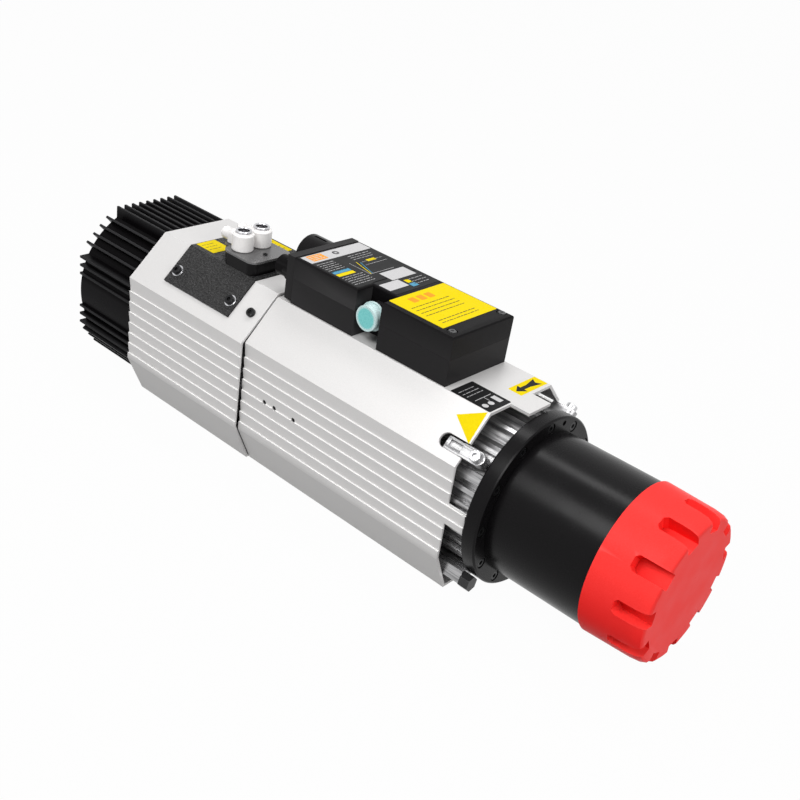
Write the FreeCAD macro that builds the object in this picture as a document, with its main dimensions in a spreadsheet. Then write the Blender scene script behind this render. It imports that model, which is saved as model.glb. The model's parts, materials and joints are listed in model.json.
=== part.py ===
"""Motor spindle: air-cooled, with automatic tool change and an ISO 30 taper.

Millimetres. X runs along the spindle axis towards the nose, Z is up, and the origin
is on the axis at the front face of the mounting flange.
"""
import FreeCAD, Part
import math
import os
import Sketcher

doc = FreeCAD.newDocument("motor_spindle")
sheet = doc.addObject("Spreadsheet::Sheet", "Sizes")
sheet.Label = "sizes"
Vector = FreeCAD.Vector
aliases = []
nodes = []


class Size:
    """A number together with the expression that ties it to the sheet."""

    def __init__(self, value, text):
        self.value = float(value)
        self.text = text

    def __add__(self, other):
        return joined(self, "+", other)

    def __radd__(self, other):
        return joined(other, "+", self)

    def __sub__(self, other):
        return joined(self, "-", other)

    def __rsub__(self, other):
        return joined(other, "-", self)

    def __mul__(self, other):
        return joined(self, "*", other)

    def __rmul__(self, other):
        return joined(other, "*", self)

    def __truediv__(self, other):
        return joined(self, "/", other)

    def __neg__(self):
        return Size(-self.value, "(-%s)" % self.text)


def as_size(number):
    if isinstance(number, Size):
        return number
    return Size(number, "(%r)" % float(number))


def joined(left, sign, right):
    left = as_size(left)
    right = as_size(right)
    if sign == "+":
        value = left.value + right.value
    elif sign == "-":
        value = left.value - right.value
    elif sign == "*":
        value = left.value * right.value
    else:
        value = left.value / right.value
    return Size(value, "(%s %s %s)" % (left.text, sign, right.text))


def sine(angle):
    angle = as_size(angle)
    return Size(math.sin(math.radians(angle.value)), "sin(%s)" % angle.text)


def cosine(angle):
    angle = as_size(angle)
    return Size(math.cos(math.radians(angle.value)), "cos(%s)" % angle.text)


def root(area):
    area = as_size(area)
    return Size(math.sqrt(area.value), "sqrt(%s)" % area.text)


def size(alias, number):
    """One driving dimension: a row of the sheet."""
    aliases.append(alias)
    row = len(aliases)
    sheet.set("A%d" % row, alias)
    sheet.set("B%d" % row, str(number))
    sheet.setAlias("B%d" % row, alias)
    return Size(number, "Sizes.%s" % alias)


# Clearances
slip = size("slip", 0.05)
seat_gap = size("seat_gap", 0.1)
free_gap = size("free_gap", 0.3)
overrun = size("overrun", 1.0)
small_bevel = size("small_bevel", 0.8)

# Shaft and bearings: all the round pieces follow the two seats
front_seat_radius = size("front_seat_radius", 35.0)
rear_seat_radius = size("rear_seat_radius", 22.5)
bearing_section = size("bearing_section", 20.0)
bearing_width = size("bearing_width", 20.0)
bearing_spacing = size("bearing_spacing", 10.0)
rear_bearing_width = size("rear_bearing_width", 19.0)
race_share = size("race_share", 3.4)
cage_inset = size("cage_inset", 3.0)
front_bearing_radius = front_seat_radius + bearing_section
rear_bearing_radius = rear_seat_radius + bearing_section
shaft_body_radius = front_seat_radius - size("body_step", 8.0)
shaft_nose_radius = front_seat_radius - size("nose_step", 0.084)
collar_radius = front_seat_radius + size("collar_step", 3.0)
collar_length = size("collar_length", 7.0)
nut_thread_radius = front_seat_radius - size("thread_step", 2.0)
nut_radius = nut_thread_radius + size("nut_section", 10.0)
nut_length = size("nut_length", 12.0)

# Nose and mounting flange
nose_length = size("nose_length", 100.0)
nose_radius = front_bearing_radius + size("nose_wall", 5.0)
nose_bevel = size("nose_bevel", 1.5)
cartridge_bore = nut_radius + size("nut_room", 3.0)
nose_cover_radius = nose_radius - size("cover_step", 1.4)
nose_cover_thickness = size("nose_cover_thickness", 4.5)
cover_screw_head = size("cover_screw_head", 3.5)
cover_screw_seat = size("cover_screw_seat", 3.4)
cover_screw_count = 8
housing_bore = front_bearing_radius + size("housing_room", 3.0)
spigot_radius = housing_bore - seat_gap
spigot_length = size("spigot_length", 55.0)
boss_reach = housing_bore + size("boss_step", 10.4)
flange_radius = boss_reach + size("flange_rim", 4.0)
flange_thickness = size("flange_thickness", 13.0)
flange_bevel = size("flange_bevel", 1.2)
flange_screw_ring = boss_reach - size("screw_inset", 3.2)
flange_screw_count = 12
flange_screw_head = size("flange_screw_head", 4.25)
flange_screw_seat = size("flange_screw_seat", 5.6)
flange_thread_hole = size("flange_thread_hole", 2.2)
jack_radius = size("jack_radius", 2.1)
jack_angle = size("jack_angle", 75.0)
jack_inset = size("jack_inset", 5.4)

# Tool interface and drawbar
shaft_front = nose_length + size("shaft_reach", 18.0)
bearing_front = nose_length - size("bearing_inset", 4.0)
taper_face_radius = size("taper_face_radius", 15.875)
taper_length = size("taper_length", 48.0)
taper_ratio = size("taper_ratio", 7.0) / size("taper_run", 48.0)
key_width = size("key_width", 15.9)
key_height = size("key_height", 7.5)
key_seat = size("key_seat", 6.0)
drawbar_radius = size("drawbar_radius", 8.0)
drawbar_stroke = size("drawbar_stroke", 6.0)
gripper_radius = size("gripper_radius", 9.0)
gripper_length = size("gripper_length", 24.0)
gripper_front = shaft_front - size("gripper_inset", 56.0)
gripper_lip = size("gripper_lip", 2.2)
stud_radius = size("stud_radius", 4.0)
stud_length = size("stud_length", 8.0)
spring_bore = size("spring_bore", 16.0)
spring_front = gripper_front - size("spring_inset", 134.0)
spring_length = size("spring_length", 156.0)
spring_lean = size("spring_lean", 2.2)
spring_count = 12

# Stator housing and electrical core
housing_rear = -flange_thickness - size("housing_length", 250.5)
housing_wall = size("housing_wall", 3.4)
fin_height = size("fin_height", 4.8)
fin_thickness = size("fin_thickness", 3.6)
fin_count = 36
boss_width = size("boss_width", 8.4)
thread_depth = size("thread_depth", 16.0)
core_front = size("core_front", -85.0)
core_length = size("core_length", 130.0)
air_gap = size("air_gap", 0.5)
rotor_radius = shaft_body_radius + size("rotor_section", 8.2)
winding_reach = size("winding_reach", 24.0)

# Skins: the rear one is larger than the front one
skin_joint = housing_rear + size("skin_lap", 3.2)
rear_skin_end = skin_joint - size("rear_skin_length", 152.4)
front_skin_end = -flange_thickness - size("outlet_length", 17.5)
skin_wall = size("skin_wall", 2.4)
joint_gap = size("joint_gap", 1.0)
base_height = boss_reach + size("base_room", 7.9)
front_half_width = boss_reach + size("side_room", 2.9)
front_top = boss_reach + size("top_room", 8.3)
upper_cut = size("upper_cut", 32.6)
upper_fall = size("upper_fall", 34.2)
front_top_half = front_half_width - upper_cut
front_upper_corner = front_top - upper_fall
front_lower_corner = base_height - size("lower_rise", 35.2)
front_bottom_half = front_half_width - size("lower_cut", 16.7)
rear_half_width = front_half_width + size("rear_side_step", 3.9)
rear_top = front_top + size("rear_top_step", 2.2)
rear_top_half = rear_half_width - size("rear_upper_cut", 37.9)
rear_upper_corner = rear_top - size("rear_upper_fall", 36.5)
rear_lower_corner = base_height - size("rear_lower_rise", 37.0)
rear_bottom_half = rear_half_width - size("rear_lower_cut", 17.8)
rear_tilt = size("rear_tilt", 43.9)
chamfer_tilt = size("chamfer_tilt", 46.4)
chamfer_height = ((front_top * upper_cut + front_top_half * upper_fall)
                  / root(upper_cut * upper_cut + upper_fall * upper_fall))
step_depth = size("step_depth", 1.4)
step_pitch = size("step_pitch", 10.5)
step_first = front_upper_corner - size("step_margin", 13.3)
step_count = 7
tongue_half_width = size("tongue_half_width", 13.7)
tongue_length = size("tongue_length", 5.0)
side_tongue_top = size("side_tongue_top", 9.8)
side_tongue_bottom = size("side_tongue_bottom", -7.6)
skin_screw_x = skin_joint - size("skin_screw_inset", 10.7)
skin_screw_shift = size("skin_screw_shift", 2.0)
skin_screw_hole = size("skin_screw_hole", 2.8)
side_hole_radius = size("side_hole_radius", 2.1)
side_hole_level = size("side_hole_level", -1.4)
side_thread_radius = size("side_thread_radius", 1.2)
side_hole_rear = skin_joint + size("side_hole_margin", 29.0)
side_hole_steps = (0.0, 12.0, 35.1)

# End shield and release cylinder
shield_front = housing_rear - size("shield_gap", 0.5)
shield_thickness = size("shield_thickness", 26.0)
shield_spigot = size("shield_spigot", 8.0)
rear_bearing_front = shield_front - size("rear_bearing_inset", 5.0)
shaft_rear = shield_front - shield_thickness - size("shaft_tail", 4.0)
drawbar_rear = shaft_rear + size("drawbar_inset", 1.0)
cylinder_radius = housing_bore - size("cylinder_step", 2.0)
cylinder_wall = size("cylinder_wall", 7.0)
cylinder_length = size("cylinder_length", 88.0)
cylinder_end = size("cylinder_end", 12.0)
cylinder_rim = size("cylinder_rim", 6.0)
cylinder_flange = cylinder_radius + size("cylinder_lip", 10.0)
cylinder_cover_thickness = size("cylinder_cover_thickness", 8.0)
piston_thickness = size("piston_thickness", 20.0)
piston_rod_radius = size("piston_rod_radius", 12.0)
piston_stroke = size("piston_stroke", 8.0)
piston_room = size("piston_room", 22.0)
push_gap = size("push_gap", 2.2)
sensor_radius = size("sensor_radius", 4.0)
sensor_inset = size("sensor_inset", 18.0)
sensor_pitch = size("sensor_pitch", 16.0)

# Rear cowl and fan
cowl_rear = rear_skin_end - size("cowl_length", 77.3)
cowl_radius = rear_half_width - size("cowl_drop", 0.9)
cowl_wall = size("cowl_wall", 4.0)
cowl_top = rear_top - size("cowl_top_drop", 1.9)
cowl_bottom = -base_height + free_gap
cowl_half_width = rear_half_width + size("cowl_overlap", 0.2)
cowl_fin_pitch = size("cowl_fin_pitch", 8.4)
cowl_fin_thickness = size("cowl_fin_thickness", 2.4)
cowl_spigot = size("cowl_spigot", 12.0)
cowl_upper_face = size("cowl_upper_face", 45.5)
cowl_upper_reach = rear_half_width + size("cowl_upper_rise", 6.4)
cowl_upper_pitch = size("cowl_upper_pitch", 10.0)
cowl_lower_face = size("cowl_lower_face", 38.0)
cowl_lower_reach = rear_half_width + size("cowl_lower_rise", 7.8)
fan_tip_radius = cowl_radius - size("fan_room", 13.3)
fan_hub_radius = size("fan_hub_radius", 27.0)
fan_axle_radius = size("fan_axle_radius", 3.0)
fan_depth = size("fan_depth", 24.0)
fan_front = cowl_rear + size("fan_inset", 50.0)
fan_blade_count = 7
guard_thickness = size("guard_thickness", 2.5)
guard_wire = size("guard_wire", 3.0)
guard_pitch = size("guard_pitch", 15.8)
guard_first = size("guard_first", 14.0)

# Saddle cover, manifold and fittings
saddle_front = skin_joint - size("saddle_gap", 28.7)
saddle_rear = saddle_front - size("saddle_length", 86.0)
saddle_thickness = size("saddle_thickness", 1.8)
saddle_drop = size("saddle_drop", 39.0)
saddle_screw_radius = size("saddle_screw_radius", 2.0)
saddle_screw_margin = size("saddle_screw_margin", 7.5)
manifold_front = saddle_front - size("manifold_inset", 4.5)
manifold_near = size("manifold_near", -38.0)
manifold_far = size("manifold_far", 8.0)
manifold_height = size("manifold_height", 10.7)
manifold_corner = size("manifold_corner", 8.0)
manifold_lobe = size("manifold_lobe", 6.6)
plate_thickness = size("plate_thickness", 2.0)
plate_rim = size("plate_rim", 0.6)
plate_screw_x = manifold_front - size("plate_screw_inset", 9.6)
plate_screw_y = manifold_far - size("plate_screw_margin", 23.4)
fitting_front = manifold_front - size("fitting_inset", 28.5)
fitting_near = manifold_near + size("fitting_margin", 13.0)
fitting_pitch = size("fitting_pitch", 20.5)
fitting_radius = size("fitting_radius", 9.6)
fitting_height = size("fitting_height", 15.8)
fitting_stem = size("fitting_stem", 6.0)
manifold_rear = fitting_front - fitting_radius - size("manifold_margin", 1.7)
tube_bore = size("tube_bore", 5.0)
collet_radius = size("collet_radius", 7.2)
collet_rise = size("collet_rise", 2.4)
collet_travel = size("collet_travel", 1.2)
elbow_radius = size("elbow_radius", 5.6)
elbow_bore = size("elbow_bore", 3.0)
elbow_stem = size("elbow_stem", 4.0)
elbow_rear = fitting_front - fitting_radius - elbow_radius - size("elbow_gap", 1.0)
elbow_near = fitting_near + size("elbow_shift", 4.0)
elbow_pitch = size("elbow_pitch", 17.5)
elbow_axis = elbow_radius + free_gap
elbow_reach = size("elbow_reach", 11.0)

# Junction box
connector_radius = size("connector_radius", 17.0)
connector_length = size("connector_length", 27.0)
connector_offset = size("connector_offset", 15.0)
connector_wall = size("connector_wall", 4.0)
signal_radius = size("signal_radius", 10.0)
signal_length = size("signal_length", 16.5)
signal_offset = size("signal_offset", -26.5)
signal_rise = size("signal_rise", 2.0)
gland_height = front_top + connector_radius + size("connector_room", 4.6)
box_front = front_skin_end - size("box_margin", 45.3)
box_rear = box_front - size("box_length", 169.5)
box_half_width = front_top_half - size("box_inset", 1.2)
box_split = gland_height + size("split_rise", 0.5)
box_top = gland_height + connector_radius + size("lid_room", 2.2)
box_wall = size("box_wall", 2.6)
box_round = size("box_round", 1.6)
cover_screw_radius = size("cover_screw_radius", 2.0)
cover_screw_recess = size("cover_screw_recess", 0.9)
recess_front = box_front - size("recess_margin", 71.7)
recess_rear = recess_front - size("recess_width", 26.5)
recess_depth = size("recess_depth", 18.0)
gland_plate_thickness = size("gland_plate_thickness", 8.0)
gland_cap_radius = size("gland_cap_radius", 10.6)
gland_cap_length = size("gland_cap_length", 9.5)
gland_cap_rim = size("gland_cap_rim", 1.4)
gland_thread_radius = size("gland_thread_radius", 8.0)
gland_bore = size("gland_bore", 5.0)
gland_across = size("gland_across", 10.4)

# Corner bars, brackets and mounting rails
rail_inner = size("rail_inner", 26.0)
rail_width = size("rail_width", 16.0)
rail_rear = housing_rear + size("rail_rear_margin", 13.5)
rail_front = -flange_thickness - size("rail_front_margin", 37.0)
rail_hole_radius = size("rail_hole_radius", 3.4)
rail_hole_depth = size("rail_hole_depth", 12.0)
rail_hole_margin = size("rail_hole_margin", 20.0)
bar_front = -flange_thickness - free_gap
bar_lower = size("bar_rise", 15.7) - base_height
bar_upper = bar_lower + size("bar_height", 12.6)
bar_outer = front_bottom_half + size("bar_reach", 4.4)
bar_inner = bar_outer - size("bar_width", 12.5)
bar_bolt_across = size("bar_bolt_across", 11.6)
bar_bolt_y = size("bar_bolt_inset", 2.7) - bar_outer
bar_bolt_z = bar_lower + size("bar_bolt_rise", 4.7)
bar_bolt_radius = size("bar_bolt_radius", 2.4)
bar_bolt_head = size("bar_bolt_head", 9.0)
bracket_width = size("bracket_width", 11.2)
bracket_slot = bracket_width + size("bracket_play", 1.0)
bracket_shift = size("bracket_shift", -4.1)
bracket_rear = -flange_thickness - size("bracket_length", 40.0)
bracket_front = -flange_thickness - size("bracket_gap", 1.0)
bracket_arm = size("bracket_arm", 18.0)
bracket_inset = size("bracket_inset", 1.4)
bracket_screw_x = bracket_front - size("bracket_screw_inset", 7.0)
bracket_screw_radius = size("bracket_screw_radius", 2.4)

# Nose cap
cap_rim_x = nose_length - size("cap_depth", 14.1)
cap_front_x = nose_length + size("cap_reach", 36.0)
cap_rim_radius = nose_radius + size("cap_rim_step", 2.0)
cap_shoulder_radius = nose_radius + size("cap_shoulder_step", 0.6)
cap_face_radius = nose_radius - size("cap_face_step", 4.5)
cap_wall = size("cap_wall", 2.4)
lip_groove_x = cap_rim_x - size("lip_groove_lead", 0.2)
lip_groove_width = size("lip_groove_width", 1.6)
lip_groove_depth = size("lip_groove_depth", 0.8)
notch_rear = cap_front_x - size("notch_length", 26.0)
notch_root = nose_radius - size("notch_depth", 11.0)
notch_width = size("notch_width", 12.4)
notch_corner = size("notch_corner", 2.6)
notch_count = 11
notch_start = size("notch_start", 112.0)

doc.recompute()


def new_body(label):
    made = doc.addObject("PartDesign::Body", label)
    made.Label = label
    return made


def origin_part(made, role):
    for feature in made.Origin.OriginFeatures:
        if feature.Role == role:
            return feature
    raise RuntimeError("no " + role)


def sketch_at(made, name, role, offset=0.0, tilt=None):
    """A sketch on one of the body's planes, moved along that plane's normal."""
    offset = as_size(offset)
    drawn = made.newObject("Sketcher::SketchObject", name)
    drawn.AttachmentSupport = [(origin_part(made, role), "")]
    drawn.MapMode = "FlatFace"
    if tilt is None:
        drawn.setExpression("AttachmentOffset.Base.z", offset.text)
    else:
        turn = FreeCAD.Rotation(Vector(1, 0, 0), tilt.value)
        drawn.AttachmentOffset = FreeCAD.Placement(Vector(0, 0, 0), turn)
        drawn.setExpression("AttachmentOffset.Rotation.Angle", tilt.text)
        drawn.setExpression("AttachmentOffset.Base.y", (-offset * sine(tilt)).text)
        drawn.setExpression("AttachmentOffset.Base.z", (offset * cosine(tilt)).text)
    return drawn


def tie(drawn, edge, point, x, y):
    """Hold a point of the sketch at its distances from the origin."""
    for kind, distance in (("DistanceX", as_size(x)), ("DistanceY", as_size(y))):
        rule = Sketcher.Constraint(kind, -1, 1, edge, point, distance.value)
        index = drawn.addConstraint(rule)
        drawn.setExpression("Constraints[%d]" % index, distance.text)


def outline(drawn, corners):
    """A closed outline of straight edges."""
    first = drawn.GeometryCount
    count = len(corners)
    points = [Vector(as_size(x).value, as_size(y).value, 0) for x, y in corners]
    for index in range(count):
        edge = Part.LineSegment(points[index], points[(index + 1) % count])
        drawn.addGeometry(edge, False)
    for index in range(count):
        following = first + (index + 1) % count
        drawn.addConstraint(Sketcher.Constraint("Coincident", first + index, 2, following, 1))
    for index, (x, y) in enumerate(corners):
        tie(drawn, first + index, 1, x, y)


def ring(drawn, x, y, radius):
    """A circle with its centre and radius tied to the sizes."""
    x, y, radius = as_size(x), as_size(y), as_size(radius)
    centre = Vector(x.value, y.value, 0)
    edge = drawn.addGeometry(Part.Circle(centre, Vector(0, 0, 1), radius.value), False)
    index = drawn.addConstraint(Sketcher.Constraint("Radius", edge, radius.value))
    drawn.setExpression("Constraints[%d]" % index, radius.text)
    tie(drawn, edge, 3, x, y)


def box_corners(x0, x1, y0, y1):
    return [(x0, y0), (x1, y0), (x1, y1), (x0, y1)]


def hexagon(x, y, reach, turn=0.0):
    """Six corners round a point."""
    angles = [turn + 60.0 * index for index in range(6)]
    return [(x + reach * cosine(angle), y + reach * sine(angle)) for angle in angles]


def stations(made, name, role, start, end, tilt=None):
    """A sketch placed so that growth along its normal covers start to end."""
    start, end = as_size(start), as_size(end)
    if role == "XZ_Plane":
        return sketch_at(made, name, role, -end), end - start
    return sketch_at(made, name, role, start, tilt), end - start


def pad(made, name, role, start, end, loops=(), circles=(), tilt=None):
    """Material between two stations along the plane's normal axis."""
    drawn, length = stations(made, name + "_sketch", role, start, end, tilt)
    for loop in loops:
        outline(drawn, loop)
    for circle in circles:
        ring(drawn, *circle)
    grown = made.newObject("PartDesign::Pad", name)
    grown.Profile = drawn
    grown.setExpression("Length", length.text)
    made.Tip = grown
    return grown


def pocket(made, name, role, start, end, loops=(), circles=(), tilt=None):
    """A cut between two stations along the plane's normal axis."""
    drawn, length = stations(made, name + "_sketch", role, start, end, tilt)
    for loop in loops:
        outline(drawn, loop)
    for circle in circles:
        ring(drawn, *circle)
    cut = made.newObject("PartDesign::Pocket", name)
    cut.Profile = drawn
    cut.Reversed = True
    cut.setExpression("Length", length.text)
    made.Tip = cut
    return cut


def turned(made, name, corners, cutting=False):
    """Material or a cut turned about the X axis; corners are (x, radius)."""
    drawn = sketch_at(made, name + "_sketch", "XZ_Plane")
    outline(drawn, corners)
    kind = "PartDesign::Groove" if cutting else "PartDesign::Revolution"
    spun = made.newObject(kind, name)
    spun.Profile = drawn
    spun.ReferenceAxis = (drawn, ["H_Axis"])
    spun.Angle = 360.0
    made.Tip = spun
    return spun


def turned_upright(made, name, corners, cutting=False):
    """As turned, about the body's own Z axis; corners are (radius, z)."""
    drawn = sketch_at(made, name + "_sketch", "XZ_Plane")
    outline(drawn, corners)
    kind = "PartDesign::Groove" if cutting else "PartDesign::Revolution"
    spun = made.newObject(kind, name)
    spun.Profile = drawn
    spun.ReferenceAxis = (drawn, ["V_Axis"])
    spun.Angle = 360.0
    made.Tip = spun
    return spun


def around(made, name, features, count, axis="X_Axis"):
    """Copies of features turned about one of the body's axes."""
    pattern = made.newObject("PartDesign::PolarPattern", name)
    pattern.Originals = features
    pattern.Axis = (origin_part(made, axis), [""])
    pattern.Angle = 360.0
    pattern.Occurrences = count
    made.Tip = pattern
    return pattern


def opposite(made, name, features, role="XZ_Plane"):
    """The mirror image of features on the other side of one of the body's planes."""
    image = made.newObject("PartDesign::Mirrored", name)
    image.Originals = features
    image.MirrorPlane = (origin_part(made, role), [""])
    made.Tip = image
    return image


def place(made, x=0.0, y=0.0, z=0.0):
    """Put a finished body at its station."""
    for letter, distance in (("x", x), ("y", y), ("z", z)):
        made.setExpression("Placement.Base." + letter, as_size(distance).text)


def keep(made):
    nodes.append(made)
    return made


def group(label, members):
    """One node that holds several separate solids."""
    whole = doc.addObject("Part::Compound", label)
    whole.Links = members
    whole.Label = label
    return keep(whole)


def pair(label, made):
    """A left and a right piece in one node."""
    image = doc.addObject("Part::Mirroring", label + "_right")
    image.Source = made
    image.Normal = Vector(0, 1, 0)
    return group(label, [made, image])


def computed(label, shape):
    """A node whose form is worked out from the sheet's values."""
    made = doc.addObject("Part::Feature", label)
    made.Label = label
    made.Shape = shape
    return keep(made)


def socket_screw(radius, head_radius, head, shank, key):
    """A cap screw along +Z with the seat of its head at the origin."""
    body = Part.makeCylinder(head_radius, head)
    edges = [edge for edge in body.Edges if abs(edge.BoundBox.ZMin - head) < 1e-6]
    body = body.makeChamfer(0.12 * head_radius, edges)
    rim = [Vector(key * math.cos(math.radians(a)), key * math.sin(math.radians(a)), 0.45 * head)
           for a in range(0, 361, 60)]
    recess = Part.Face(Part.makePolygon(rim)).extrude(Vector(0, 0, head))
    stem = Part.makeCylinder(radius, shank + 1.0, Vector(0, 0, -shank))
    return body.fuse(stem).cut(recess).removeSplitter()


def posed(shape, spot, direction, spin=0.0):
    """A copy of a shape that stands along +Z, moved to a spot and turned to a direction."""
    turn = FreeCAD.Rotation(Vector(0, 0, 1), Vector(*direction))
    turn = turn.multiply(FreeCAD.Rotation(Vector(0, 0, 1), spin))
    copy = shape.copy()
    copy.Placement = FreeCAD.Placement(Vector(*spot), turn)
    return copy


# How far the corners of a skin's section move along its faces for each unit of wall
upper_shift = 0.41
side_shift = 0.23
bottom_shift = 0.63


def section(half_width, top, top_half, upper, lower, bottom_half, bottom, wall=0.0):
    """The right half of a skin's section from the top down, set in by a wall."""
    return [
        (top_half - wall * upper_shift, top - wall),
        (half_width - wall, upper - wall * upper_shift),
        (half_width - wall, wall * side_shift - lower),
        (bottom_half - wall * bottom_shift, wall - bottom),
    ]


def both_halves(right):
    """A whole section from its right half."""
    return right + [(-y, z) for y, z in reversed(right)]


def rear_section(wall=0.0):
    return section(rear_half_width, rear_top, rear_top_half, rear_upper_corner,
                   rear_lower_corner, rear_bottom_half, base_height, as_size(wall))


def front_section(wall=0.0):
    return section(front_half_width, front_top, front_top_half, front_upper_corner,
                   front_lower_corner, front_bottom_half, base_height, as_size(wall))


def stepped(right, half_width):
    """The right half of a section with shallow lapped steps down its side."""
    corners = right[:2]
    for index in range(step_count):
        level = step_first - step_pitch * float(index)
        corners = corners + [(half_width - step_depth, level), (half_width, level)]
    return corners + right[2:]


def saddle_screw_holes():
    return [(x, skin_screw_shift, saddle_screw_radius + free_gap)
            for x in (saddle_rear + saddle_screw_margin, saddle_front - saddle_screw_margin)]


def rear_skin():
    made = new_body("rear_skin")
    loops = [both_halves(stepped(rear_section(), rear_half_width)),
             both_halves(rear_section(skin_wall))]
    pad(made, "shell", "YZ_Plane", rear_skin_end, skin_joint, loops)
    reach = chamfer_height + 10.0
    spots = [(skin_screw_x, skin_screw_shift, skin_screw_hole)]
    holes = pocket(made, "upper_holes", "XY_Plane", chamfer_height * 0.5, reach,
                   circles=spots + saddle_screw_holes(), tilt=rear_tilt)
    opposite(made, "upper_holes_right", [holes])
    keep(made)


def front_skin():
    made = new_body("front_skin")
    loops = [both_halves(stepped(front_section(), front_half_width)),
             both_halves(front_section(skin_wall))]
    tip = -flange_thickness - free_gap
    pad(made, "shell", "YZ_Plane", skin_joint + joint_gap, tip, loops)
    far = front_top * 1.25
    windows = []
    for side in (1.0, -1.0):
        inner, outer = tongue_half_width * side, far * side
        windows.append(box_corners(inner, outer, side_tongue_top, far))
        windows.append(box_corners(inner, outer, -far, side_tongue_bottom))
    pocket(made, "air_outlets", "YZ_Plane", front_skin_end, tip + tongue_length, windows)
    half = bracket_slot / 2.0
    slot_end = bracket_rear - 1.6 + half
    deep, reach = chamfer_height - 12.0, chamfer_height + 10.0
    slot = pocket(made, "slot", "XY_Plane", deep, reach,
                  [box_corners(slot_end, as_size(0.0), bracket_shift - half, bracket_shift + half)],
                  tilt=chamfer_tilt)
    slot_round = pocket(made, "slot_round", "XY_Plane", deep, reach,
                        circles=[(slot_end, bracket_shift, half)], tilt=chamfer_tilt)
    opposite(made, "slots_right", [slot, slot_round])
    inner, outer = rail_inner - free_gap, rail_inner + rail_width + free_gap
    rear, front = rail_rear - free_gap, rail_front + free_gap
    window = pocket(made, "rail_window", "XY_Plane", -base_height - 5.0, -base_height + 12.0,
                    [box_corners(rear, front, inner, outer)])
    opposite(made, "rail_window_left", [window])
    side_holes = [(x, side_hole_level, side_hole_radius) for x in side_hole_spots()]
    pocket(made, "side_holes", "XZ_Plane", -front_half_width - 3.0, -front_half_width + 8.0,
           circles=side_holes)
    keep(made)


def side_hole_spots():
    return [side_hole_rear + step for step in side_hole_steps]


def small_screws():
    """Screws of one size: three in the front skin's near side, one in the manifold's plate."""
    radius = side_hole_radius.value - 2.0 * slip.value
    screw = socket_screw(side_thread_radius.value - slip.value, radius, 1.2, 3.5, 1.0)
    seat = -boss_reach.value - slip.value
    solids = [posed(screw, (x.value, seat, side_hole_level.value), (0, -1, 0))
              for x in side_hole_spots()]
    spot = (plate_screw_x.value, plate_screw_y.value, plate_top().value + slip.value)
    solids.append(posed(screw, spot, (0, 0, 1)))
    computed("small_screws", Part.makeCompound(solids))


def stator_housing():
    made = new_body("stator_housing")
    outer = housing_bore + housing_wall
    pad(made, "tube", "YZ_Plane", housing_rear, -flange_thickness,
        circles=[(0.0, 0.0, outer), (0.0, 0.0, housing_bore)])
    half = fin_thickness / 2.0
    fin = pad(made, "fin", "YZ_Plane", housing_rear, -flange_thickness,
              [box_corners(outer - 1.5, outer + fin_height, -half, half)])
    around(made, "fins", [fin], fin_count)
    half = boss_width / 2.0
    boss = pad(made, "boss", "YZ_Plane", housing_rear, -flange_thickness,
               [box_corners(outer - 1.5, boss_reach, -half, half)])
    around(made, "bosses", [boss], flange_screw_count)
    hole = pocket(made, "tapped_hole", "YZ_Plane", -flange_thickness - thread_depth,
                  -flange_thickness, circles=[(flange_screw_ring, 0.0, flange_thread_hole)])
    around(made, "tapped_holes", [hole], flange_screw_count)
    pocket(made, "side_threads", "XZ_Plane", -boss_reach - overrun, -boss_reach + 4.0,
           circles=[(x, side_hole_level, side_thread_radius) for x in side_hole_spots()])
    keep(made)


def front_flange():
    made = new_body("front_flange")
    back, bevel = -flange_thickness, flange_bevel
    bore = spigot_radius + slip
    turned(made, "disc", [(back, bore), (0.0, bore), (0.0, flange_radius - bevel),
                          (-bevel, flange_radius), (back + bevel, flange_radius),
                          (back, flange_radius - bevel)])
    head_room = flange_screw_head + 0.25
    wide = pocket(made, "head_room", "YZ_Plane", -flange_screw_seat, overrun,
                  circles=[(flange_screw_ring, 0.0, head_room)])
    narrow = pocket(made, "screw_hole", "YZ_Plane", back - 1.0, 1.0,
                    circles=[(flange_screw_ring, 0.0, flange_thread_hole + 0.6)])
    around(made, "screw_holes", [wide, narrow], flange_screw_count)
    ring_radius = flange_radius - jack_inset
    spot = (ring_radius * cosine(jack_angle), ring_radius * sine(jack_angle))
    jack = pocket(made, "jack_hole", "YZ_Plane", back - 1.0, 1.0,
                  circles=[(spot[0], spot[1], jack_radius)])
    opposite(made, "jack_hole_below", [jack], "XY_Plane")
    keep(made)


def flange_screws():
    screw = socket_screw(flange_thread_hole.value - slip.value, flange_screw_head.value, 5.0, 20.0, 2.0)
    solids = []
    for index in range(flange_screw_count):
        angle = math.radians(360.0 / flange_screw_count * index)
        reach = flange_screw_ring.value
        spot = (slip.value - flange_screw_seat.value, reach * math.cos(angle), reach * math.sin(angle))
        solids.append(posed(screw, spot, (1, 0, 0)))
    computed("flange_screws", Part.makeCompound(solids))


def nose_cartridge():
    made = new_body("nose_cartridge")
    seat = bearing_front - bearing_width * 2.0 - bearing_spacing
    bevel = nose_bevel
    groove_end = lip_groove_x + lip_groove_width
    groove_floor = nose_radius - lip_groove_depth
    turned(made, "sleeve", [
        (-spigot_length, cartridge_bore), (seat, cartridge_bore),
        (seat, front_bearing_radius + slip), (nose_length, front_bearing_radius + slip),
        (nose_length, nose_radius - bevel), (nose_length - bevel, nose_radius),
        (groove_end, nose_radius), (groove_end, groove_floor),
        (lip_groove_x, groove_floor), (lip_groove_x, nose_radius),
        (0.0, nose_radius), (0.0, spigot_radius), (-spigot_length, spigot_radius)])
    keep(made)


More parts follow.
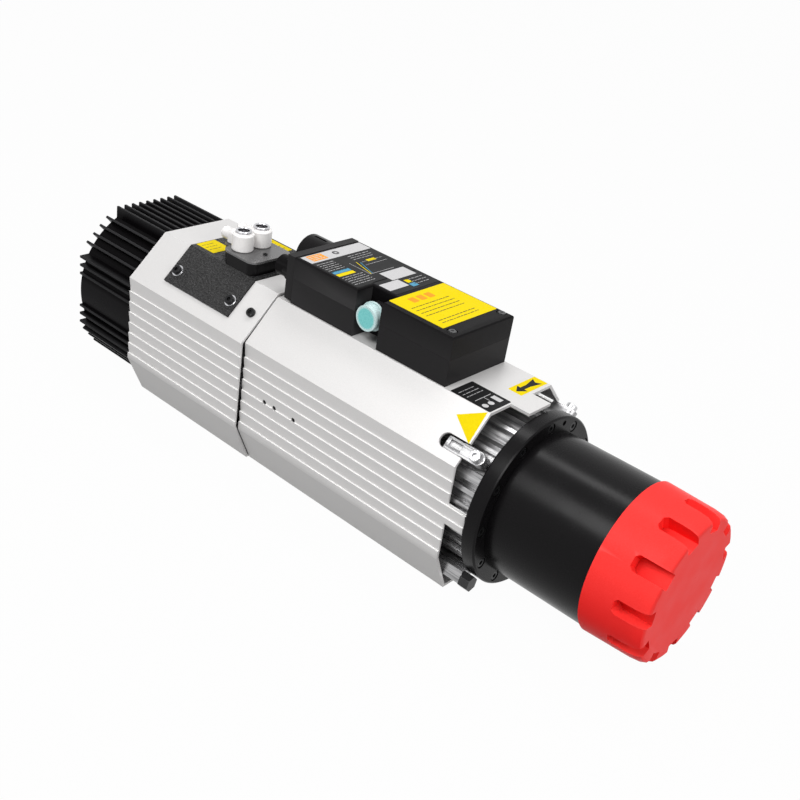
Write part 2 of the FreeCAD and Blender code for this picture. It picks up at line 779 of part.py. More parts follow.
def nose_cover():
    made = new_body("nose_cover")
    front = nose_length + nose_cover_thickness
    bore = collar_radius + free_gap
    turned(made, "disc", [
        (bearing_front + seat_gap, bore), (front, bore), (front, nose_cover_radius - nose_bevel),
        (front - nose_bevel, nose_cover_radius), (nose_length + seat_gap, nose_cover_radius),
        (nose_length + seat_gap, front_bearing_radius - slip),
        (bearing_front + seat_gap, front_bearing_radius - slip)])
    ring_radius = (collar_radius + front_bearing_radius) / 2.0
    hole = pocket(made, "screw_seat", "YZ_Plane", front - cover_screw_seat, front + overrun,
                  circles=[(ring_radius, 0.0, cover_screw_head + seat_gap * 2.0)])
    around(made, "screw_seats", [hole], cover_screw_count)
    keep(made)


def nose_cover_screws():
    front = (nose_length + nose_cover_thickness).value
    reach = (collar_radius + front_bearing_radius).value / 2.0
    solids = []
    screw = Part.makeCylinder(cover_screw_head.value, 2.8)
    key = 1.7
    rim = [Vector(key * math.cos(math.radians(a)), key * math.sin(math.radians(a)), 1.2)
           for a in range(0, 361, 60)]
    screw = screw.cut(Part.Face(Part.makePolygon(rim)).extrude(Vector(0, 0, 3)))
    for index in range(cover_screw_count):
        angle = math.radians(360.0 / cover_screw_count * index)
        spot = (front - cover_screw_seat.value + slip.value, reach * math.cos(angle), reach * math.sin(angle))
        solids.append(posed(screw, spot, (1, 0, 0)))
    computed("nose_cover_screws", Part.makeCompound(solids))


def race(label, start, width, inner, outer):
    """A plain bearing ring of square section with small bevels."""
    made = new_body(label)
    end = start + width
    bevel = small_bevel
    turned(made, "ring", [
        (start, inner + bevel), (start + bevel, inner), (end - bevel, inner), (end, inner + bevel),
        (end, outer - bevel), (end - bevel, outer), (start + bevel, outer), (start, outer - bevel)])
    return made


def bearing_sets():
    """Outer rings, inner rings and ball cages of the two front bearings and the rear one."""
    step = bearing_width + bearing_spacing
    starts = [bearing_front - bearing_width, bearing_front - bearing_width - step]
    band = bearing_section / race_share
    layers = [
        ("front_outer_rings", front_bearing_radius - band, front_bearing_radius, as_size(0.0)),
        ("front_inner_rings", front_seat_radius + slip, front_seat_radius + band, as_size(0.0)),
        ("front_ball_cages", front_seat_radius + band + slip, front_bearing_radius - band - slip, cage_inset),
    ]
    for label, inner, outer, inset in layers:
        rings = []
        for index, start in enumerate(starts):
            rings.append(race("%s_%d" % (label, index), start + inset, bearing_width - inset * 2.0,
                              inner, outer))
        group(label, rings)
    spacer_start = starts[1] + bearing_width + slip
    spacer_width = bearing_spacing - slip * 2.0
    group("bearing_spacers", [
        race("outer_spacer", spacer_start, spacer_width, front_bearing_radius - band, front_bearing_radius),
    ])
    rear_start = rear_bearing_front - rear_bearing_width
    rear_band = bearing_section / race_share
    keep(race("rear_outer_ring", rear_start, rear_bearing_width,
              rear_bearing_radius - rear_band, rear_bearing_radius))
    keep(race("rear_inner_ring", rear_start, rear_bearing_width,
              rear_seat_radius + slip, rear_seat_radius + rear_band))
    keep(race("rear_ball_cage", rear_start + cage_inset, rear_bearing_width - cage_inset * 2.0,
              rear_seat_radius + rear_band + slip, rear_bearing_radius - rear_band - slip))


def spindle_shaft():
    made = new_body("spindle_shaft")
    bearings = bearing_width * 2.0 + bearing_spacing
    seat_rear = bearing_front - bearings
    thread_rear = seat_rear - nut_length - 2.0
    face_bevel = 1.2
    rear_step = rear_bearing_front + 6.0
    turned(made, "body", [
        (shaft_rear, 0.0), (shaft_front, 0.0), (shaft_front, shaft_nose_radius - face_bevel),
        (shaft_front - face_bevel, shaft_nose_radius),
        (bearing_front + collar_length, shaft_nose_radius),
        (bearing_front + collar_length, collar_radius), (bearing_front, collar_radius),
        (bearing_front, front_seat_radius), (seat_rear, front_seat_radius),
        (seat_rear, nut_thread_radius), (thread_rear, nut_thread_radius),
        (thread_rear, shaft_body_radius), (rear_step, shaft_body_radius),
        (rear_step, rear_seat_radius), (shaft_rear, rear_seat_radius)])
    taper_end = shaft_front - taper_length
    small = taper_face_radius - taper_length * taper_ratio
    chamber = gripper_front + drawbar_stroke + 0.6
    gripper_rear = gripper_front - gripper_length - free_gap
    turned(made, "bore", [
        (shaft_rear - 1.0, 0.0), (shaft_front + 1.0, 0.0),
        (shaft_front + 1.0, taper_face_radius + taper_ratio),
        (taper_end, small), (chamber, small), (chamber, gripper_radius + 2.0),
        (gripper_front + 0.5, gripper_radius + 2.0), (gripper_front - 1.5, gripper_radius + free_gap),
        (gripper_rear, gripper_radius + free_gap), (gripper_rear, drawbar_radius + free_gap),
        (spring_front, drawbar_radius + free_gap), (spring_front, spring_bore),
        (shaft_rear - 1.0, spring_bore)], cutting=True)
    half = key_width / 2.0 + slip
    slot = pocket(made, "key_slot", "YZ_Plane", shaft_front - key_seat, shaft_front + 1.0,
                  [box_corners(-half, half, taper_face_radius + 1.0, shaft_nose_radius + 2.0)])
    opposite(made, "key_slot_below", [slot], "XY_Plane")
    keep(made)


def drive_keys():
    made = new_body("drive_key_upper")
    half = key_width / 2.0
    low, high = taper_face_radius + 1.4, shaft_nose_radius - 2.6
    pad(made, "block", "YZ_Plane", shaft_front - key_seat + slip, shaft_front + key_height,
        [box_corners(-half, half, low, high)])
    image = doc.addObject("Part::Mirroring", "drive_key_lower")
    image.Source = made
    image.Normal = Vector(0, 0, 1)
    group("drive_keys", [made, image])


def rotor_core():
    made = new_body("rotor_core")
    pad(made, "stack", "YZ_Plane", core_front - core_length, core_front,
        circles=[(0.0, 0.0, rotor_radius), (0.0, 0.0, shaft_body_radius + slip)])
    keep(made)


def shaft_nut():
    made = new_body("shaft_nut")
    front = bearing_front - bearing_width * 2.0 - bearing_spacing - slip
    pad(made, "disc", "YZ_Plane", front - nut_length, front,
        circles=[(0.0, 0.0, nut_radius), (0.0, 0.0, nut_thread_radius + slip)])
    notch = pocket(made, "spanner_notch", "YZ_Plane", front - nut_length - 1.0, front + 1.0,
                   [box_corners(nut_radius - 3.0, nut_radius + 2.0, -3.0, 3.0)])
    around(made, "spanner_notches", [notch], 4)
    keep(made)


def drawbar():
    made = new_body("drawbar")
    collar_front = spring_front - spring_length - slip
    stud = gripper_front - gripper_length
    turned(made, "rod", [
        (drawbar_rear, 0.0), (stud + stud_length, 0.0), (stud + stud_length, stud_radius),
        (stud, stud_radius),
        (stud, drawbar_radius), (collar_front, drawbar_radius), (collar_front, spring_bore - free_gap),
        (collar_front - 10.0, spring_bore - free_gap), (collar_front - 10.0, drawbar_radius + 3.0),
        (drawbar_rear + 16.0, drawbar_radius + 3.0), (drawbar_rear + 16.0, spring_bore - 1.5),
        (drawbar_rear, spring_bore - 1.5)])
    keep(made)


def gripper():
    made = new_body("gripper")
    rear = gripper_front - gripper_length + slip
    turned(made, "sleeve", [
        (rear, stud_radius + slip), (rear + stud_length + 0.4, stud_radius + slip),
        (rear + stud_length + 0.4, gripper_radius - 2.6),
        (gripper_front - 4.0, gripper_radius - 2.6), (gripper_front - 3.0, gripper_radius - 3.6),
        (gripper_front, gripper_radius - gripper_lip), (gripper_front, gripper_radius - 0.8),
        (gripper_front - 1.0, gripper_radius), (rear, gripper_radius)])
    slit = pocket(made, "slit", "YZ_Plane", rear + stud_length + 1.4, gripper_front + overrun,
                  [box_corners(1.0, gripper_radius + 2.0, -0.8, 0.8)])
    around(made, "slits", [slit], 4)
    keep(made)


def disc_springs():
    """Packs of disc springs, leaning one way and the other in turn."""
    pitch = spring_length / float(spring_count)
    lean = spring_lean
    inner, outer = drawbar_radius + free_gap, spring_bore - free_gap
    packs = []
    for index in range(spring_count):
        made = new_body("disc_spring_%d" % index)
        start = spring_front - pitch * float(index + 1)
        end = start + pitch - slip
        if index % 2:
            corners = [(start, inner), (end - lean, inner), (end, outer), (start + lean, outer)]
        else:
            corners = [(start + lean, inner), (end, inner), (end - lean, outer), (start, outer)]
        turned(made, "cone", corners)
        packs.append(made)
    group("disc_springs", packs)


def stator_core():
    made = new_body("stator_core")
    pad(made, "stack", "YZ_Plane", core_front - core_length, core_front,
        circles=[(0.0, 0.0, housing_bore - slip), (0.0, 0.0, rotor_radius + air_gap)])
    keep(made)


def end_windings():
    rings = []
    rear = core_front - core_length
    spans = [("rear_winding", rear - winding_reach, rear - seat_gap),
             ("front_winding", core_front + seat_gap, core_front + winding_reach)]
    for label, start, end in spans:
        made = new_body(label)
        inner, outer, soft = rotor_radius + 4.0, housing_bore - 3.0, 4.0
        turned(made, "bundle", [
            (start, inner + soft), (start + soft, inner), (end - soft, inner), (end, inner + soft),
            (end, outer - soft), (end - soft, outer), (start + soft, outer), (start, outer - soft)])
        rings.append(made)
    group("end_windings", rings)


def end_shield():
    """The rear bearing's plate, which also carries the rear skin's front end."""
    made = new_body("end_shield")
    rear = shield_front - shield_thickness
    pad(made, "plate", "YZ_Plane", rear, shield_front, [both_halves(rear_section(skin_wall + free_gap))])
    pad(made, "spigot", "YZ_Plane", shield_front, shield_front + shield_spigot,
        circles=[(0.0, 0.0, housing_bore - slip), (0.0, 0.0, rear_bearing_radius + slip)])
    pocket(made, "bearing_seat", "YZ_Plane", rear - overrun, shield_front + shield_spigot,
           circles=[(0.0, 0.0, rear_bearing_radius + slip)])
    window = pocket(made, "air_window", "YZ_Plane", rear - 1.0, shield_front + 1.0,
                    [box_corners(housing_bore + 2.0, boss_reach - 1.0, -7.0, 7.0)])
    around(made, "air_windows", [window], 12)
    tapped = pocket(made, "skin_screw_hole", "XY_Plane", chamfer_height - 15.0, chamfer_height + 6.0,
                    circles=[(skin_screw_x, skin_screw_shift, skin_screw_hole - 0.6)],
                    tilt=rear_tilt)
    opposite(made, "skin_screw_hole_right", [tapped])
    keep(made)


def sensor_stations():
    front = shield_front - shield_thickness - seat_gap
    return [front - sensor_inset - sensor_pitch * float(index) for index in range(3)]


def release_cylinder():
    made = new_body("release_cylinder")
    front = shield_front - shield_thickness - seat_gap
    rear = front - cylinder_length
    bore = cylinder_radius - cylinder_wall
    rod = piston_rod_radius + slip
    turned(made, "barrel", [
        (rear, bore), (front - cylinder_end, bore), (front - cylinder_end, rod),
        (front - cylinder_rim, rod), (front - cylinder_rim, rear_seat_radius + 3.0),
        (front, rear_seat_radius + 3.0), (front, cylinder_flange),
        (front - cylinder_rim, cylinder_flange), (front - cylinder_rim, cylinder_radius),
        (rear, cylinder_radius)])
    pocket(made, "sensor_holes", "XZ_Plane", bore - 1.0, cylinder_radius + 1.0,
           circles=[(x, 0.0, sensor_radius + slip) for x in sensor_stations()])
    keep(made)


def release_piston():
    made = new_body("release_piston")
    rod_end = drawbar_rear - push_gap
    front = (shield_front - shield_thickness - seat_gap - cylinder_end - piston_stroke
             - piston_room)
    bore = cylinder_radius - cylinder_wall - slip
    turned(made, "piston", [
        (front - piston_thickness, 0.0), (rod_end, 0.0), (rod_end, piston_rod_radius),
        (front, piston_rod_radius), (front, bore), (front - piston_thickness, bore)])
    keep(made)


def cylinder_cover():
    made = new_body("cylinder_cover")
    end = shield_front - shield_thickness - seat_gap - cylinder_length - slip
    bore = cylinder_radius - cylinder_wall - slip
    turned(made, "disc", [
        (end - cylinder_cover_thickness, 0.0), (end + 5.0, 0.0), (end + 5.0, bore), (end, bore),
        (end, cylinder_radius), (end - cylinder_cover_thickness + 2.0, cylinder_radius),
        (end - cylinder_cover_thickness, cylinder_radius - 2.0)])
    keep(made)


def position_sensors():
    """Three proximity sensors screwed radially into the cylinder."""
    stems = []
    for index, x in enumerate(sensor_stations()):
        made = new_body("position_sensor_%d" % index)
        pad(made, "barrel", "XZ_Plane", cylinder_radius - 4.0, cylinder_radius + 12.0,
            circles=[(x, 0.0, sensor_radius)])
        pad(made, "collar", "XZ_Plane", cylinder_radius + 1.0, cylinder_radius + 4.0,
            circles=[(x, 0.0, sensor_radius + 2.0)])
        stems.append(made)
    group("position_sensors", stems)


def in_a_row(made, name, features, pitch, count, axis="Y_Axis"):
    """Copies of features side by side along one of the body's axes."""
    pattern = made.newObject("PartDesign::LinearPattern", name)
    pattern.Originals = features
    pattern.Direction = (origin_part(made, axis), [""])
    pattern.setExpression("Length", (pitch * float(count - 1)).text)
    pattern.Occurrences = count
    made.Tip = pattern
    return pattern


def slanted_fin(angle, offset, reach):
    """A fin that stands square to a slanted face: the face's angle, a shift along it, its reach."""
    half = cowl_fin_thickness / 2.0
    foot = root((cowl_radius - 2.0) * (cowl_radius - 2.0) - offset * offset)
    corners = []
    for along, out in ((offset - half, foot), (offset + half, foot),
                       (offset + half, reach), (offset - half, reach)):
        corners.append((out * cosine(angle) - along * sine(angle),
                        out * sine(angle) + along * cosine(angle)))
    return corners


def rear_cowl():
    made = new_body("rear_cowl")
    front = rear_skin_end - 0.2
    inner = cowl_radius - cowl_wall
    half = cowl_fin_thickness / 2.0
    first = -cowl_fin_pitch * 4.0
    foot = cowl_radius * 0.8
    pad(made, "drum", "YZ_Plane", cowl_rear, front, circles=[(0.0, 0.0, cowl_radius)])
    upright = pad(made, "upright_fin", "YZ_Plane", cowl_rear, front,
                  [box_corners(first - half, first + half, foot, cowl_top)])
    in_a_row(made, "upright_fins", [upright], cowl_fin_pitch, 9)
    hanging = pad(made, "hanging_fin", "YZ_Plane", cowl_rear, front,
                  [box_corners(first - half, first + half, cowl_bottom, -foot)])
    in_a_row(made, "hanging_fins", [hanging], cowl_fin_pitch, 9)
    levels = [cowl_fin_pitch * k for k in (-4.0, -3.0, -2.0, 2.0, 3.0, 4.0)]
    level = pad(made, "level_fins", "YZ_Plane", cowl_rear, front,
                [box_corners(foot, cowl_half_width, z - half, z + half) for z in levels])
    opposite(made, "level_fins_left", [level])
    upper = [slanted_fin(cowl_upper_face, cowl_upper_pitch * k, cowl_upper_reach)
             for k in (-1.5, -0.5, 0.5, 1.5)]
    lower = [slanted_fin(-cowl_lower_face, cowl_upper_pitch * k, cowl_lower_reach)
             for k in (-1.0, 0.0, 1.0)]
    slanted = pad(made, "slanted_fins", "YZ_Plane", cowl_rear, front, upper)
    opposite(made, "slanted_fins_left", [slanted])
    slanted = pad(made, "lower_fins", "YZ_Plane", cowl_rear, front, lower)
    opposite(made, "lower_fins_left", [slanted])
    spigot = rear_half_width - skin_wall - free_gap
    pad(made, "spigot", "YZ_Plane", front, front + cowl_spigot, circles=[(0.0, 0.0, spigot)])
    pocket(made, "bore", "YZ_Plane", cowl_rear - 1.0, front + cowl_spigot + 1.0,
           circles=[(0.0, 0.0, inner)])
    keep(made)


def fan_guard():
    made = new_body("fan_guard")
    inner = cowl_radius - cowl_wall - slip
    start, end = cowl_rear, cowl_rear + guard_thickness
    rings = []
    for index in range(4):
        radius = guard_first + guard_pitch * float(index)
        rings.append((0.0, 0.0, radius))
        rings.append((0.0, 0.0, radius - guard_wire))
    rings.append((0.0, 0.0, inner))
    rings.append((0.0, 0.0, inner - guard_wire - overrun))
    pad(made, "rings", "YZ_Plane", start, end, circles=rings)
    spoke = pad(made, "spoke", "YZ_Plane", start, end, [box_corners(guard_first - 2.0, inner - 2.0, -guard_wire / 2.0, guard_wire / 2.0)])
    around(made, "spokes", [spoke], 6)
    keep(made)


def fan_frame():
    """The fan's ring and struts, with the cup that holds its motor."""
    made = new_body("fan_frame")
    outer = cowl_radius - cowl_wall - slip
    rear, front = fan_front - fan_depth - 6.0, fan_front + 8.0
    pad(made, "ring", "YZ_Plane", rear, front,
        circles=[(0.0, 0.0, outer), (0.0, 0.0, fan_tip_radius + 3.2)])
    pad(made, "cup", "YZ_Plane", fan_front + 1.0, front, circles=[(0.0, 0.0, fan_hub_radius)])
    strut = pad(made, "strut", "YZ_Plane", fan_front + 2.0, front,
                [box_corners(fan_hub_radius - 2.0, fan_tip_radius + 5.0, -2.2, 2.2)])
    around(made, "struts", [strut], 4)
    pad(made, "axle", "YZ_Plane", fan_front - fan_depth + 4.0, fan_front + 1.0,
        circles=[(0.0, 0.0, fan_axle_radius)])
    keep(made)


def fan_impeller():
    """Hub with twisted blades, lofted from the hub to the tip."""
    made = new_body("fan_impeller")
    rear, front = fan_front - fan_depth, fan_front
    pad(made, "hub", "YZ_Plane", rear, front,
        circles=[(0.0, 0.0, fan_hub_radius), (0.0, 0.0, fan_axle_radius + slip)])
    middle = (rear + front) / 2.0
    half_chord = fan_depth / 2.0 - 1.5
    drawn = []
    for name, level, sweep in (("blade_root", fan_hub_radius - 1.5, 7.0),
                               ("blade_tip", fan_tip_radius, 15.0)):
        profile = sketch_at(made, name, "XY_Plane", level)
        outline(profile, [(middle - half_chord, -sweep), (middle, -sweep * 0.1 - 1.0),
                          (middle + half_chord, sweep - 1.0), (middle + half_chord, sweep),
                          (middle, -sweep * 0.1 + 1.2), (middle - half_chord, -sweep + 1.2)])
        drawn.append(profile)
    blade = made.newObject("PartDesign::AdditiveLoft", "blade")
    blade.Profile = drawn[0]
    blade.Sections = [drawn[1]]
    blade.Ruled = True
    made.Tip = blade
    around(made, "blades", [blade], fan_blade_count)
    keep(made)


def saddle_cover():
    """A bent plate over the top and both upper slanted faces of the rear skin."""
    made = new_body("saddle_cover")
    gap = slip
    thick = saddle_thickness
    slope = root((rear_half_width - rear_top_half) * (rear_half_width - rear_top_half)
                 + (rear_top - rear_upper_corner) * (rear_top - rear_upper_corner))
    run_y = (rear_half_width - rear_top_half) / slope
    run_z = (rear_top - rear_upper_corner) / slope
    low_y = rear_top_half + saddle_drop * run_y
    low_z = rear_top - saddle_drop * run_z
    right = [
        (rear_top_half + gap * upper_shift, rear_top + gap),
        (low_y + gap * run_z, low_z + gap * run_y),
        (low_y + (gap + thick) * run_z, low_z + (gap + thick) * run_y),
        (rear_top_half + (gap + thick) * upper_shift, rear_top + gap + thick),
    ]
    left = [(-y, z) for y, z in right]
    corners = [right[0], right[1], right[2], right[3], left[3], left[2], left[1], left[0]]
    pad(made, "plate", "YZ_Plane", saddle_rear, saddle_front, [corners])
    holes = pocket(made, "screw_holes", "XY_Plane", chamfer_height - 20.0, chamfer_height + 10.0,
                   circles=saddle_screw_holes(), tilt=rear_tilt)
    opposite(made, "screw_holes_right", [holes])
    keep(made)


def rounded_block(label, x0, x1, y0, y1, z0, z1, corner):
    """A block with its four upright edges rounded."""
    made = new_body(label)
    pad(made, "block", "XY_Plane", z0, z1, [box_corners(x0, x1, y0, y1)])
    doc.recompute()
    edges = []
    for index, edge in enumerate(made.Tip.Shape.Edges):
        box = edge.BoundBox
        if box.ZLength > 0.5 and box.XLength < 0.01 and box.YLength < 0.01:
            edges.append("Edge%d" % (index + 1))
    block = made.Tip
    smooth = made.newObject("PartDesign::Fillet", "corners")
    smooth.Base = (block, edges)
    smooth.setExpression("Radius", as_size(corner).text)
    made.Tip = smooth
    return made


def saddle_top():
    return rear_top + slip + saddle_thickness


def fitting_spots():
    """Where the four fittings stand: two upright ones in front, two elbows behind."""
    return {"front_near": (fitting_front, fitting_near),
            "front_far": (fitting_front, fitting_near + fitting_pitch),
            "rear_near": (elbow_rear, elbow_near),
            "rear_far": (elbow_rear, elbow_near + elbow_pitch)}


def lobed_block(label, rim, z0, z1, stem_gap):
    """The manifold's outline: a rounded block with two lobes under the elbows."""
    made = rounded_block(label, manifold_rear - rim, manifold_front + rim, manifold_near - rim,
                         manifold_far + rim, z0, z1, manifold_corner)
    near, far = elbow_near, elbow_near + elbow_pitch
    lobe = manifold_lobe + rim
    pad(made, "neck", "XY_Plane", z0, z1,
        [box_corners(elbow_rear, manifold_rear + 2.0, near - lobe, far + lobe)])
    pad(made, "lobes", "XY_Plane", z0, z1, circles=[(elbow_rear, near, lobe), (elbow_rear, far, lobe)])
    ports = [(x, y, stem_gap + (fitting_stem if x is fitting_front else elbow_stem))
             for x, y in fitting_spots().values()]
    return made, ports


def manifold():
    low = saddle_top() + slip
    high = low + manifold_height
    block, ports = lobed_block("manifold_block", as_size(0.0), low, high, slip)
    pocket(block, "ports", "XY_Plane", low + 3.0, high + 1.0, circles=ports)
    spot = [(plate_screw_x, plate_screw_y, side_thread_radius)]
    pocket(block, "screw_hole", "XY_Plane", high - 7.0, high + 1.0, circles=spot)
    plate, ports = lobed_block("manifold_plate", plate_rim, high + slip,
                               high + slip + plate_thickness, slip)
    spot = [(plate_screw_x, plate_screw_y, side_thread_radius + slip)]
    pocket(plate, "ports", "XY_Plane", high - 1.0, high + 10.0, circles=ports + spot)
    keep(block)
    keep(plate)


def plate_top():
    return saddle_top() + slip + manifold_height + slip + plate_thickness


def straight_fitting(label, spot):
    """An upright push-in fitting; its collet is a piece of its own."""
    made = new_body(label)
    wide, tall = fitting_radius, fitting_height
    turned_upright(made, "barrel", [
        (0.0, -6.0), (fitting_stem, -6.0), (fitting_stem, slip), (wide - 0.8, slip), (wide, 0.8),
        (wide, tall - 1.6), (wide - 1.6, tall), (0.0, tall)])
    seat = collet_radius - 0.8
    turned_upright(made, "tube_socket", [
        (0.0, tall + 1.0), (0.0, -7.0), (tube_bore - 1.5, -7.0), (tube_bore - 1.5, tall - 13.0),
        (tube_bore + slip, tall - 13.0), (tube_bore + slip, tall - 9.0), (seat, tall - 9.0),
        (seat, tall + 1.0)], cutting=True)
    place(made, spot[0], spot[1], plate_top())
    keep(made)


def collet(label, spot):
    """The release ring that is pressed in to let go of a tube."""
    made = new_body(label)
    tall = fitting_height
    sleeve = collet_radius - 0.8 - slip
    turned_upright(made, "ring", [
        (tube_bore + slip, tall - 7.6), (sleeve, tall - 7.6), (sleeve, tall + collet_travel + 0.2),
        (collet_radius, tall + collet_travel + 0.2), (collet_radius, tall + collet_rise - 0.5),
        (collet_radius - 0.5, tall + collet_rise), (tube_bore + 0.7, tall + collet_rise),
        (tube_bore + slip, tall + collet_rise - 0.7)])
    place(made, spot[0], spot[1], plate_top())
    keep(made)


def elbow_fitting(label, spot):
    """A swivelling elbow with its tube socket pointing to the rear."""
    made = new_body(label)
    wide, level = elbow_radius, elbow_axis
    crown = level + wide
    turned_upright(made, "barrel", [
        (0.0, -6.0), (elbow_stem, -6.0), (elbow_stem, slip), (wide - 0.6, slip), (wide, 0.6),
        (wide, crown - 3.4), (wide - 1.0, crown - 1.2), (wide - 2.8, crown), (0.0, crown + 0.4)])
    pad(made, "arm", "YZ_Plane", -elbow_reach, 0.0, circles=[(0.0, level, wide - 0.1)])
    pocket(made, "tube_socket", "YZ_Plane", -elbow_reach - 1.0, -elbow_reach + 7.0,
           circles=[(0.0, level, elbow_bore + slip)])
    way = elbow_bore - 1.2
    pocket(made, "air_way", "XY_Plane", -7.0, level, circles=[(0.0, 0.0, way)])
    pocket(made, "cross_way", "YZ_Plane", -elbow_reach + 6.0, 0.0, circles=[(0.0, level, way)])
    place(made, spot[0], spot[1], plate_top())
    keep(made)


def fittings():
    spots = fitting_spots()
    for side in ("near", "far"):
        straight_fitting("fitting_" + side, spots["front_" + side])
        collet("collet_" + side, spots["front_" + side])
        elbow_fitting("elbow_" + side, spots["rear_" + side])


def tray_loops(inset):
    """The junction box's plan, with its near-side recess, set in by a wall."""
    inset = as_size(inset)
    rear, front = box_rear + inset, box_front - inset
    near, far = -box_half_width + inset, box_half_width - inset
    back = -box_half_width + recess_depth + inset
    return [(rear, near), (recess_rear - inset, near), (recess_rear - inset, back),
            (recess_front + inset, back), (recess_front + inset, near), (front, near),
            (front, far), (rear, far)]


def cover_screw_spots():
    return [(box_front - 9.2, box_half_width - 4.5), (box_front - 9.2, 9.5 - box_half_width),
            (box_rear + 9.3, as_size(0.0))]


def junction_box():
    floor = front_top + slip
    base = new_body("junction_base")
    pad(base, "tray", "XY_Plane", floor, box_split - slip, [tray_loops(0.0)])
    pocket(base, "hollow", "XY_Plane", floor + box_wall, box_split + 5.0, [tray_loops(box_wall)])
    cover = new_body("junction_cover")
    pad(cover, "lid", "XY_Plane", box_split + slip, box_top, [tray_loops(0.0)])
    doc.recompute()
    edges = []
    for index, edge in enumerate(cover.Tip.Shape.Edges):
        box = edge.BoundBox
        if abs(box.ZMin - box_top.value) < 0.01:
            edges.append("Edge%d" % (index + 1))
    lid = cover.Tip
    smooth = cover.newObject("PartDesign::Fillet", "top_edges")
    smooth.Base = (lid, edges)
    smooth.setExpression("Radius", box_round.text)
    cover.Tip = smooth
    pocket(cover, "hollow", "XY_Plane", box_split - 5.0, box_top - box_wall, [tray_loops(box_wall)])
    pocket(cover, "screw_holes", "XY_Plane", box_split, box_top + 1.0,
           circles=[(x, y, cover_screw_radius + slip) for x, y in cover_screw_spots()])
    pocket(cover, "head_recesses", "XY_Plane", box_top - cover_screw_recess, box_top + 1.0,
           circles=[(x, y, cover_screw_radius * 2.15) for x, y in cover_screw_spots()])
    middle = (recess_rear + recess_front) / 2.0
    back = -box_half_width + recess_depth
    for made in (base, cover):
        pocket(made, "gland_hole", "XZ_Plane", back - 1.0, back + box_wall + 1.0,
               circles=[(middle, gland_height, gland_thread_radius + slip)])
        pocket(made, "connector_holes", "YZ_Plane", box_rear - 1.0, box_rear + box_wall + 1.0,
               circles=[(connector_offset, gland_height, connector_radius - 5.0),
                        (signal_offset, gland_height + signal_rise, signal_radius - 4.0)])
        keep(made)


def gland_plate():
    made = new_body("gland_plate")
    front = box_rear - slip
    half = box_half_width
    pad(made, "plate", "YZ_Plane", front - gland_plate_thickness, front,
        [box_corners(-half, half, front_top + 2.0, box_top)])
    pocket(made, "connector_holes", "YZ_Plane", front - gland_plate_thickness - 1.0, front + 1.0,
           circles=[(connector_offset, gland_height, connector_radius - 5.0 + slip),
                    (signal_offset, gland_height + signal_rise, signal_radius - 4.0 + slip)])
    keep(made)


def connectors():
    """The power connector and the smaller signal gland behind the junction box."""
    plate = box_rear - slip - gland_plate_thickness
    power = new_body("power_connector")
    offset, level = connector_offset, gland_height
    outer = connector_radius
    rear = plate - connector_length
    pad(power, "stem", "YZ_Plane", plate - 1.0, box_rear + box_wall,
        circles=[(offset, level, outer - 5.0 - slip), (offset, level, outer - 8.0)])
    pad(power, "shell", "YZ_Plane", rear, plate - slip,
        circles=[(offset, level, outer), (offset, level, outer - connector_wall)])
    pad(power, "insert", "YZ_Plane", rear + 9.0, rear + 14.0,
        circles=[(offset, level, outer - connector_wall + overrun)])
    pocket(power, "grip_groove", "YZ_Plane", rear + 5.0, plate - 8.0,
           [box_corners(offset + outer - 0.9, offset + outer + 2.0, level - 1.2, level + 1.2)])
    pocket(power, "grip_groove_top", "YZ_Plane", rear + 5.0, plate - 8.0,
           [box_corners(offset - 1.2, offset + 1.2, level + outer - 0.9, level + outer + 2.0)])
    keep(power)
    signal = new_body("signal_gland")
    offset, level, outer = signal_offset, gland_height + signal_rise, signal_radius
    bore = (offset, level, outer - 6.5)
    pad(signal, "stem", "YZ_Plane", plate - 1.0, box_rear + box_wall,
        circles=[(offset, level, outer - 4.0 - slip), bore])
    pad(signal, "barrel", "YZ_Plane", plate - signal_length, plate - slip,
        circles=[(offset, level, outer - 1.2), bore])
    pad(signal, "hexagon", "YZ_Plane", plate - 7.0, plate - slip, [hexagon(offset, level, outer)],
        circles=[bore])
    keep(signal)


def cable_gland():
    """The gland in the box's recess, and the transport cap on it."""
    middle = (recess_rear + recess_front) / 2.0
    back = -box_half_width + recess_depth
    body = new_body("cable_gland")
    level = gland_height
    pad(body, "thread", "XZ_Plane", back - 1.0, back + box_wall + 3.0,
        circles=[(middle, level, gland_thread_radius), (middle, level, gland_bore)])
    pad(body, "hexagon", "XZ_Plane", back - 5.0, back - slip,
        [hexagon(middle, level, gland_across)],
        circles=[(middle, level, gland_bore)])
    pad(body, "neck", "XZ_Plane", back - 15.0, back - 5.0,
        circles=[(middle, level, gland_thread_radius), (middle, level, gland_bore)])
    keep(body)
    cap = new_body("gland_cap")
    front = -box_half_width - 1.2
    pad(cap, "disc", "XZ_Plane", front, front + gland_cap_length,
        circles=[(middle, level, gland_cap_radius)])
    pocket(cap, "socket", "XZ_Plane", front + 2.0, front + gland_cap_length + 1.0,
           circles=[(middle, level, gland_thread_radius + free_gap)])
    pad(cap, "rim", "XZ_Plane", front + gland_cap_length - 2.2, front + gland_cap_length,
        circles=[(middle, level, gland_cap_radius + gland_cap_rim),
                 (middle, level, gland_thread_radius + free_gap)])
    pad(cap, "plug", "XZ_Plane", front + 1.0, front + gland_cap_length - 1.0,
        circles=[(middle, level, gland_bore - free_gap)])
    keep(cap)


